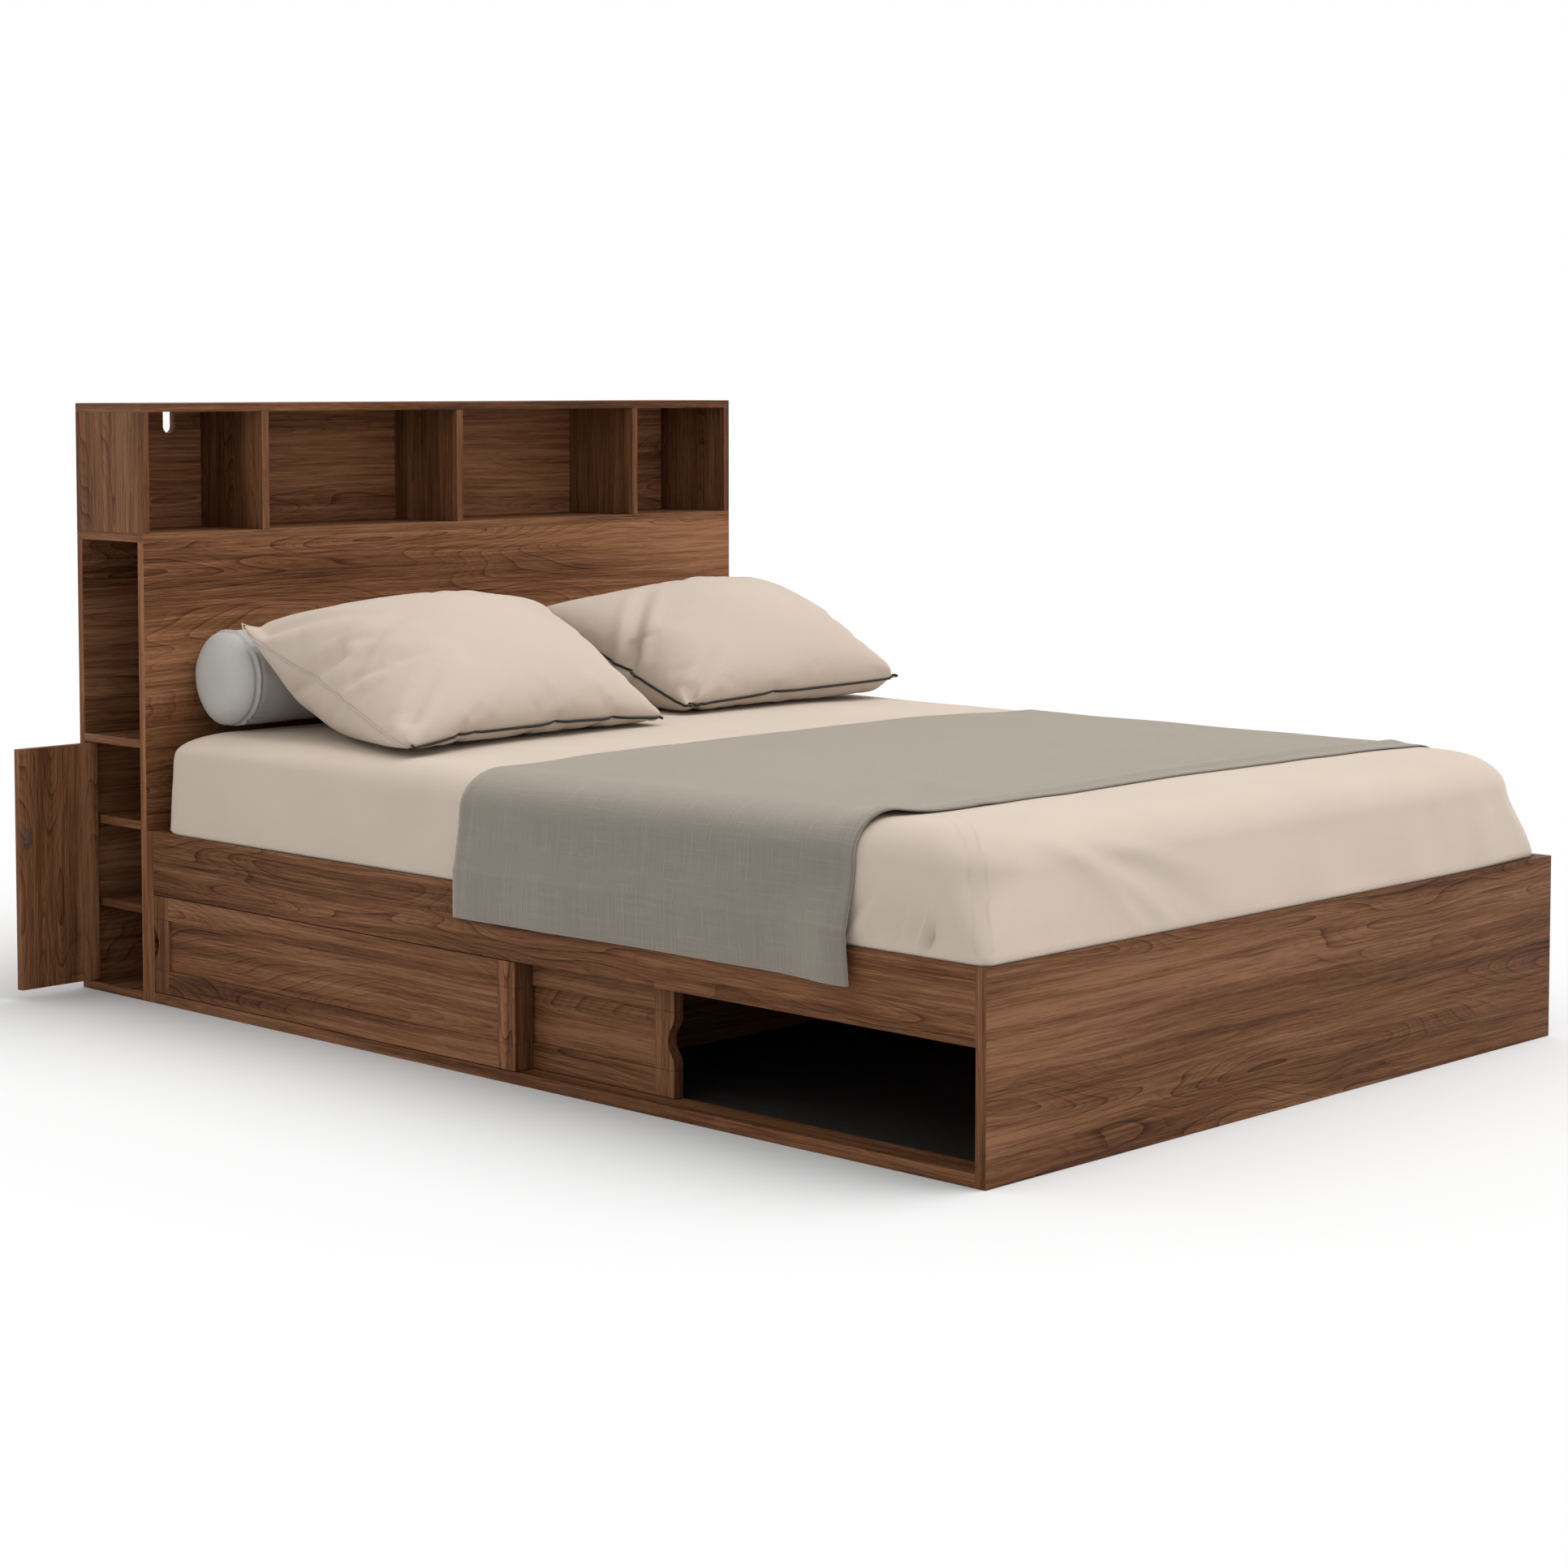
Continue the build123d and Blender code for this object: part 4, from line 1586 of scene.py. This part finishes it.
    def build(self, cotton: bpy.types.Material, cord: bpy.types.Material) -> None:
        """Args:
            cotton: Finish of the case.
            cord: Finish of the dark piping.
        """
        case = self.shell()
        self.inflate(case)
        sides = ("front", "right", "back", "left")
        plain = tuple(side for side in sides if side not in self.piped)
        piped_runs, plain_runs = self.seam(case, self.piped), self.seam(case, plain)
        dark = self.piping(piped_runs, self.cord_radius, "piping")
        welt = self.piping(plain_runs, self.welt_radius, "welt")
        bake_in(case, "SUBSURF", levels=1, render_levels=1)
        smooth(case)
        dress(case, cotton)
        dress(dark, cord)
        dress(welt, cotton)
        for piece in (case, dark, welt):
            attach(piece, BED)
        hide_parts(self.node)
        LOG.info("made %s with its piping", self.name)


@dataclass
class Bolster:
    """Round bolster against the headboard, with a welted seam at each end.

    Attributes:
        turns: Cells round it.
        dome: How far each end stands out from its seam.
        rim: How far each end runs straight before it rounds over.
        welt: How far the seam's welt stands out.
        axis_reach: Radius at which the creases are read from the noise.
        puckers: Pleats of the cloth round each seam.
    """

    turns: int = 144
    dome: float = 0.042
    rim: float = 0.006
    welt: float = 0.0032
    axis_reach: float = 0.11
    puckers: int = 31

    def __post_init__(self) -> None:
        """Takes the sizes of the CAD bolster."""
        self.low, self.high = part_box("bolster")
        self.radius = (self.high[2] - self.low[2]) / 2
        self.y0 = (self.low[1] + self.high[1]) / 2
        self.z0 = (self.low[2] + self.high[2]) / 2
        self.half = (self.high[0] - self.low[0]) / 2

    def profile(self) -> tuple[np.ndarray, np.ndarray]:
        """The bolster's outline, from one end to the other.

        Returns:
            Places along X, and the radius at each.
        """
        seam = self.half - self.dome
        rounding = np.linspace(0.0, math.pi / 2, 26)[::-1]
        end_x = seam + self.rim + (self.dome - self.rim) * np.sin(rounding) ** 1.25
        end_r = self.radius * np.cos(rounding) ** 0.60
        near = np.linspace(seam + 0.0055, seam - 0.030, 28)
        middle = np.linspace(seam - 0.040, 0.0, 46)
        x = np.concatenate([end_x, near, middle])
        r = np.concatenate([end_r, np.full(len(near) + len(middle), self.radius)])
        # The welt stands up between two shallow grooves.
        r = r + self.welt * bell(x - seam, 0.0030)
        r = r - 0.0030 * bell(x - seam - 0.0070, 0.0035) * (x > seam)
        r = r - 0.0022 * bell(x - seam + 0.0075, 0.0040) * (x < seam)
        r[0] = 1e-5
        return (
            np.concatenate([x, -x[-2::-1]]),
            np.concatenate([r, r[-2::-1]]),
        )

    def build(self, cloth: bpy.types.Material) -> None:
        """Args:
            cloth: Its finish.
        """
        x_line, r_line = self.profile()
        roll = grid("bolster_roll", self.turns, len(x_line) - 1)
        unit = places_of(roll)
        angle = unit[:, 0] * 2 * math.pi
        row = np.rint(unit[:, 1] * (len(x_line) - 1)).astype(int)
        x, r = x_line[row], r_line[row]
        ray = np.column_stack([np.cos(angle), np.sin(angle)])
        base = np.column_stack([x, self.axis_reach * ray])
        soft = ripple(base, (6.0, 14.0, 14.0), 2.2)
        fine = ripple(base, (22.0, 30.0, 30.0), 4.2)
        under = np.clip(-np.sin(angle), 0, 1) ** 2
        near_seam = bell(np.abs(x) - self.half + self.dome + 0.012, 0.022)
        pucker = np.sin(angle * self.puckers + 2.5 * np.sin(angle * 5))
        full = r / self.radius
        r = r + full * (soft * 0.0036 + fine * 0.0010)
        r = r + full * pucker * near_seam * (0.0005 + under * 0.0026)
        y = self.y0 + r * np.cos(angle)
        z = self.z0 + r * np.sin(angle)
        # It lies flat on the mattress and against the headboard.
        z = np.maximum(z, self.low[2] + 0.0015)
        y = np.minimum(y, self.high[1] - 0.0005)
        move_to(roll, np.column_stack([x, y, z]))
        scale_uv(roll, 2 * math.pi * self.radius, 2 * self.half)
        weld(roll, 1e-4)
        smooth(roll)
        dress(roll, cloth)
        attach(roll, BED)
        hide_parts("bolster")
        LOG.info("made bolster_roll")


@dataclass
class Throw:
    """Woven throw laid across the bed, hanging down both sides.

    Attributes:
        mattress: The mattress that it lies on.
        half: Half its length across the bed.
        foot: Y of its foot edge on the top.
        head: Y of its head edge on the top.
        columns: Cells across the bed.
        rows: Cells along the bed.
        thick: Cloth thickness.
        gap: Air between the throw and the sheet.
        hang_in: Drop over which the hanging part comes to its full shape.
        hem_wide: How far inside its edges the sewn line runs.
        end_hem: How far from its ends the raised fold runs.
    """

    mattress: Mattress
    half: float = 0.972
    foot: float = -0.912
    head: float = 0.000
    columns: int = 364
    rows: int = 135
    thick: float = 0.0024
    gap: float = 0.0012
    hang_in: float = 0.13
    hem_wide: float = 0.024
    end_hem: float = 0.080

    def build(self, cloth: bpy.types.Material) -> None:
        """Args:
            cloth: Its finish.
        """
        throw = grid("throw_blanket", self.columns, self.rows)
        unit = places_of(throw)
        width = self.head - self.foot
        scale_uv(throw, 2 * self.half, width)
        walk = (unit[:, 0] * 2 - 1) * self.half
        b = unit[:, 1]
        side = np.sign(walk)
        far = np.abs(walk)
        m = self.mattress
        # From its middle the throw lies flat, bends over the edge and hangs down.
        wide, tall = m.roll + self.gap, m.roll_height + self.gap
        flat_half = m.half[0] - m.lean - m.roll
        arc = (wide + tall) * math.pi / 4
        bend = np.clip((far - flat_half) / arc, 0, 1) * math.pi / 2
        drop = np.clip(far - flat_half - arc, 0, None)
        y = self.edge_at(walk, b, drop)
        x = side * np.minimum(far, flat_half)
        x = x + m.middle[0]
        z = m.lying_at(x, y) + self.gap - tall * (1 - np.cos(bend)) - drop
        lift = self.stand_off(np.column_stack([walk, y, z]), b, drop)
        flatly = 1 - bend / QUARTER_TURN
        x = x + side * (wide * np.sin(bend) + lift * (1 - flatly))
        raised = self.hems(walk, b, y)
        z = z + (self.top_folds(side * far, b) + raised) * flatly
        x = x + side * raised * (1 - flatly)
        move_to(throw, np.column_stack([x, y, z]))
        bake_in(throw, "SOLIDIFY", thickness=self.thick, offset=1.0)
        smooth(throw)
        dress(throw, cloth)
        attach(throw, BED)
        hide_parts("throw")
        LOG.info("made throw_blanket")

    def edge_at(self, walk: np.ndarray, b: np.ndarray, drop: np.ndarray) -> np.ndarray:
        """Places along the bed, with edges that wander a little.

        Args:
            walk: Place on the cloth from its middle to the right.
            b: 0..1 from the foot edge to the head edge.
            drop: How far each place hangs below the bend.

        Returns:
            Y of each place.
        """
        far, left = np.abs(walk), (walk < 0).astype(float)
        hang = ease(drop, 0.0, self.hang_in)
        y = self.foot + b * (self.head - self.foot)
        y = y + left * (0.031 * ease(far, 0.55, 0.78) - 0.004 * hang)
        y = y + left * (1 - b) * 0.010 * bell(far - 0.72, 0.05)
        y = y + left * (1 - b) * -0.012 * ease(drop, 0.05, 0.2)
        y = y + 0.010 * ease(walk, -0.35, 0.2)
        y = y - (1 - left) * 0.045 * ease(far, 0.1, 0.9)
        flat = np.column_stack([walk, b * 0.3, b * 0])
        return y + 0.006 * ripple(flat, (3, 1, 1), 1.5)

    def stand_off(
        self, places: np.ndarray, b: np.ndarray, drop: np.ndarray
    ) -> np.ndarray:
        """How the hanging part stands off the bed, in soft waves.

        Args:
            places: Place on the cloth from its middle, Y and Z of each vertex.
            b: 0..1 from the foot edge to the head edge.
            drop: How far each place hangs below the bend.

        Returns:
            How far each place stands off.
        """
        walk, y, z = places.T
        left = (walk < 0).astype(float)
        hang = ease(drop, 0.0, self.hang_in)
        wave = np.sin(b * 21 + 1.2 * np.sin(b * 7)) * 0.35
        wave = wave + np.sin(b * 9.5 + 0.7) * 0.65
        lift = hang * (0.0045 + 0.0040 * wave) + self.mattress.lean * hang + 0.0016
        lift = lift + left * bell(b - 0.03, 0.07) * hang * 0.012
        flat = np.column_stack([walk, y, z * 0])
        return lift + 0.0012 * ripple(flat, (6, 6, 1), 8.1)

    def hems(self, walk: np.ndarray, b: np.ndarray, y: np.ndarray) -> np.ndarray:
        """A raised fold across each end, and a sewn line inside every edge.

        Args:
            walk: Place on the cloth from its middle to the right.
            b: 0..1 from the foot edge to the head edge.
            y: Y of each place.

        Returns:
            How far the cloth stands up.
        """
        end = self.half - np.abs(walk)
        inner = np.minimum(np.minimum(b, 1 - b) * (self.head - self.foot), end)
        uneven = ripple(np.column_stack([end * 0, y, y * 0]), (1, 30, 1), 4.4)
        raised = 0.0024 * bell(end - self.end_hem, 0.006)
        raised = raised + 0.0008 * uneven * bell(end - self.end_hem + 0.02, 0.03)
        return raised - 0.0008 * bell(inner - self.hem_wide, 0.0045)

    def top_folds(self, x: np.ndarray, b: np.ndarray) -> np.ndarray:
        """Low folds in the throw on the mattress.

        Args:
            x: Place across the bed.
            b: 0..1 from the foot edge to the head edge.

        Returns:
            How far the cloth stands up.
        """
        y = b * (self.head - self.foot)
        flat = np.column_stack([x, y, x * 0])
        rise = 0.0012 * (ripple(flat, (4.0, 6.0, 1.0), 12.0) + 0.7)
        rise *= 0.25 + 0.75 * ease(y, 0.0, 0.03)
        rise += 0.0046 * bell(y - 0.040 - 0.03 * x, 0.015) * ease(x, -0.78, -0.6)
        rise += 0.0100 * bell(x + 0.70, 0.055) * bell(y - 0.01, 0.05)
        rise += 0.0045 * bell(x + 0.45 - 0.5 * (y - 0.1), 0.03) * bell(y - 0.16, 0.14)
        return rise


# --------------------------------------------------------------------------
# Stage
# --------------------------------------------------------------------------


@dataclass(frozen=True)
class Stage:
    """Camera, floor and soft studio light.

    Attributes:
        eye: Camera place.
        turn: Camera's turn about Z, in degrees.
        dip: How far it looks down, in degrees.
        lens: Focal length in millimetres.
        shift: Lens shift up.
        floor_grey: Floor colour.
        floor_size: Side of the floor.
        floor_drop: How far the floor lies below the bed's feet.
        key_toward: Direction from the bed to the key lamp.
        key_power: Strength of the key lamp.
        key_wide: Angle that the key lamp fills, in degrees.
    """

    eye: Point = (-4.3220, -4.1553, 1.1712)
    turn: float = -46.060
    dip: float = 3.767
    lens: float = 74.38
    shift: float = -0.12
    floor_grey: float = 0.66
    floor_size: float = 120.0
    floor_drop: float = 0.0005
    key_toward: Point = (0.42, -0.27, 0.86)
    key_power: float = 2.0
    key_wide: float = 50.0

    def build(self) -> None:
        """Adds the camera, the floor, the key lamp and the sky."""
        scene = bpy.context.scene
        scene.view_settings.view_transform = "Standard"
        scene.view_settings.look = "None"
        eye = bpy.data.cameras.new("eye")
        eye.lens = self.lens
        eye.shift_y = self.shift
        eye.clip_end = 200.0
        camera = bpy.data.objects.new("eye", eye)
        camera.location = self.eye
        camera.rotation_euler = (
            math.radians(90 - self.dip),
            0.0,
            math.radians(self.turn),
        )
        scene.collection.objects.link(camera)
        scene.camera = camera
        bpy.ops.object.select_all(action="DESELECT")
        bpy.ops.mesh.primitive_plane_add(
            size=self.floor_size, location=(0, 0, -self.floor_drop)
        )
        floor = bpy.context.active_object
        floor.name = "floor"
        s = Shader("pale_floor")
        cloud = s.noise(s.object_place(), (0.8, 0.8, 0.8), 2.0)
        grey = (self.floor_grey,) * 3
        tint = s.mix(cloud, grey, toned(grey, 1.01))
        dress(floor, s.finish(Base_Color=tint, Roughness=0.9, Specular_IOR_Level=0.0))
        self.lamp("key", self.key_toward, self.key_power, self.key_wide)
        world = bpy.data.worlds.new("sky")
        scene.world = world
        world.use_nodes = True
        sky = world.node_tree.nodes["Background"]
        sky.inputs["Color"].default_value = (1, 1, 1, 1)
        sky.inputs["Strength"].default_value = 1.0

    def lamp(self, name: str, toward: Point, power: float, wide: float) -> None:
        """Adds a far, broad lamp.

        Args:
            name: Its name.
            toward: Direction from the bed to the lamp.
            power: Its strength.
            wide: Angle that it fills, in degrees.
        """
        light = bpy.data.lights.new(name, "SUN")
        light.energy = power
        light.angle = math.radians(wide)
        lamp = bpy.data.objects.new(name, light)
        lamp.rotation_mode = "QUATERNION"
        lamp.rotation_quaternion = Vector(toward).to_track_quat("Z", "Y")
        bpy.context.scene.collection.objects.link(lamp)


def main() -> None:
    """Builds the bed in order, and reports each piece."""
    logging.basicConfig(level=logging.INFO, format="%(name)s: %(message)s")
    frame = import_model()
    Stage().build()
    Carcass(frame).dress_all()
    mattress = Mattress()
    mattress.build(SHEET_CLOTH.material(), TICK.material())
    bolster = Bolster()
    bolster.build(BOLSTER_CLOTH.material())
    lying = {
        "bolster": (bolster.y0, bolster.z0, bolster.radius),
        "floor": mattress.top + 0.001,
    }
    cotton, cord = PILLOW_COTTON.material(), PIPING_CORD.material()
    for pillow in (
        Pillow(
            name="pillow_case_left",
            node="pillow_left",
            corners=(
                (-0.700, 0.242, 0.532),
                (-0.055, 0.277, 0.532),
                (0.040, 0.770, 0.722),
                (-0.680, 0.760, 0.722),
            ),
            flat=(0.74, 0.60),
            piped=("front",),
            pressure=7.5,
            weight=0.8,
            slack=0.057,
            creases=(
                (0.98, 0.86, 0.62, 0.70, 0.028, 0.022),
                (0.03, 0.90, 0.24, 0.62, 0.018, 0.017),
                (0.03, 0.45, 0.30, 0.56, 0.019, 0.012),
                (0.06, 0.10, 0.28, 0.30, 0.018, 0.009),
            ),
            **lying,
        ),
        Pillow(
            name="pillow_case_right",
            node="pillow_right",
            corners=(
                (0.105, 0.365, 0.540),
                (0.695, 0.350, 0.560),
                (0.735, 0.775, 0.722),
                (0.062, 0.765, 0.710),
            ),
            flat=(0.72, 0.60),
            piped=("front", "left"),
            pressure=8.0,
            weight=0.6,
            slack=0.062,
            creases=(
                (0.0, 0.40, 0.28, 0.74, 0.017, 0.018),
                (0.03, 0.03, 0.24, 0.22, 0.016, 0.012),
                (0.97, 0.12, 0.78, 0.36, 0.020, 0.007),
            ),
            **lying,
        ),
    ):
        pillow.build(cotton, cord)
    Throw(mattress).build(THROW_WEAVE.material())


if __name__ == "__main__":
    main()
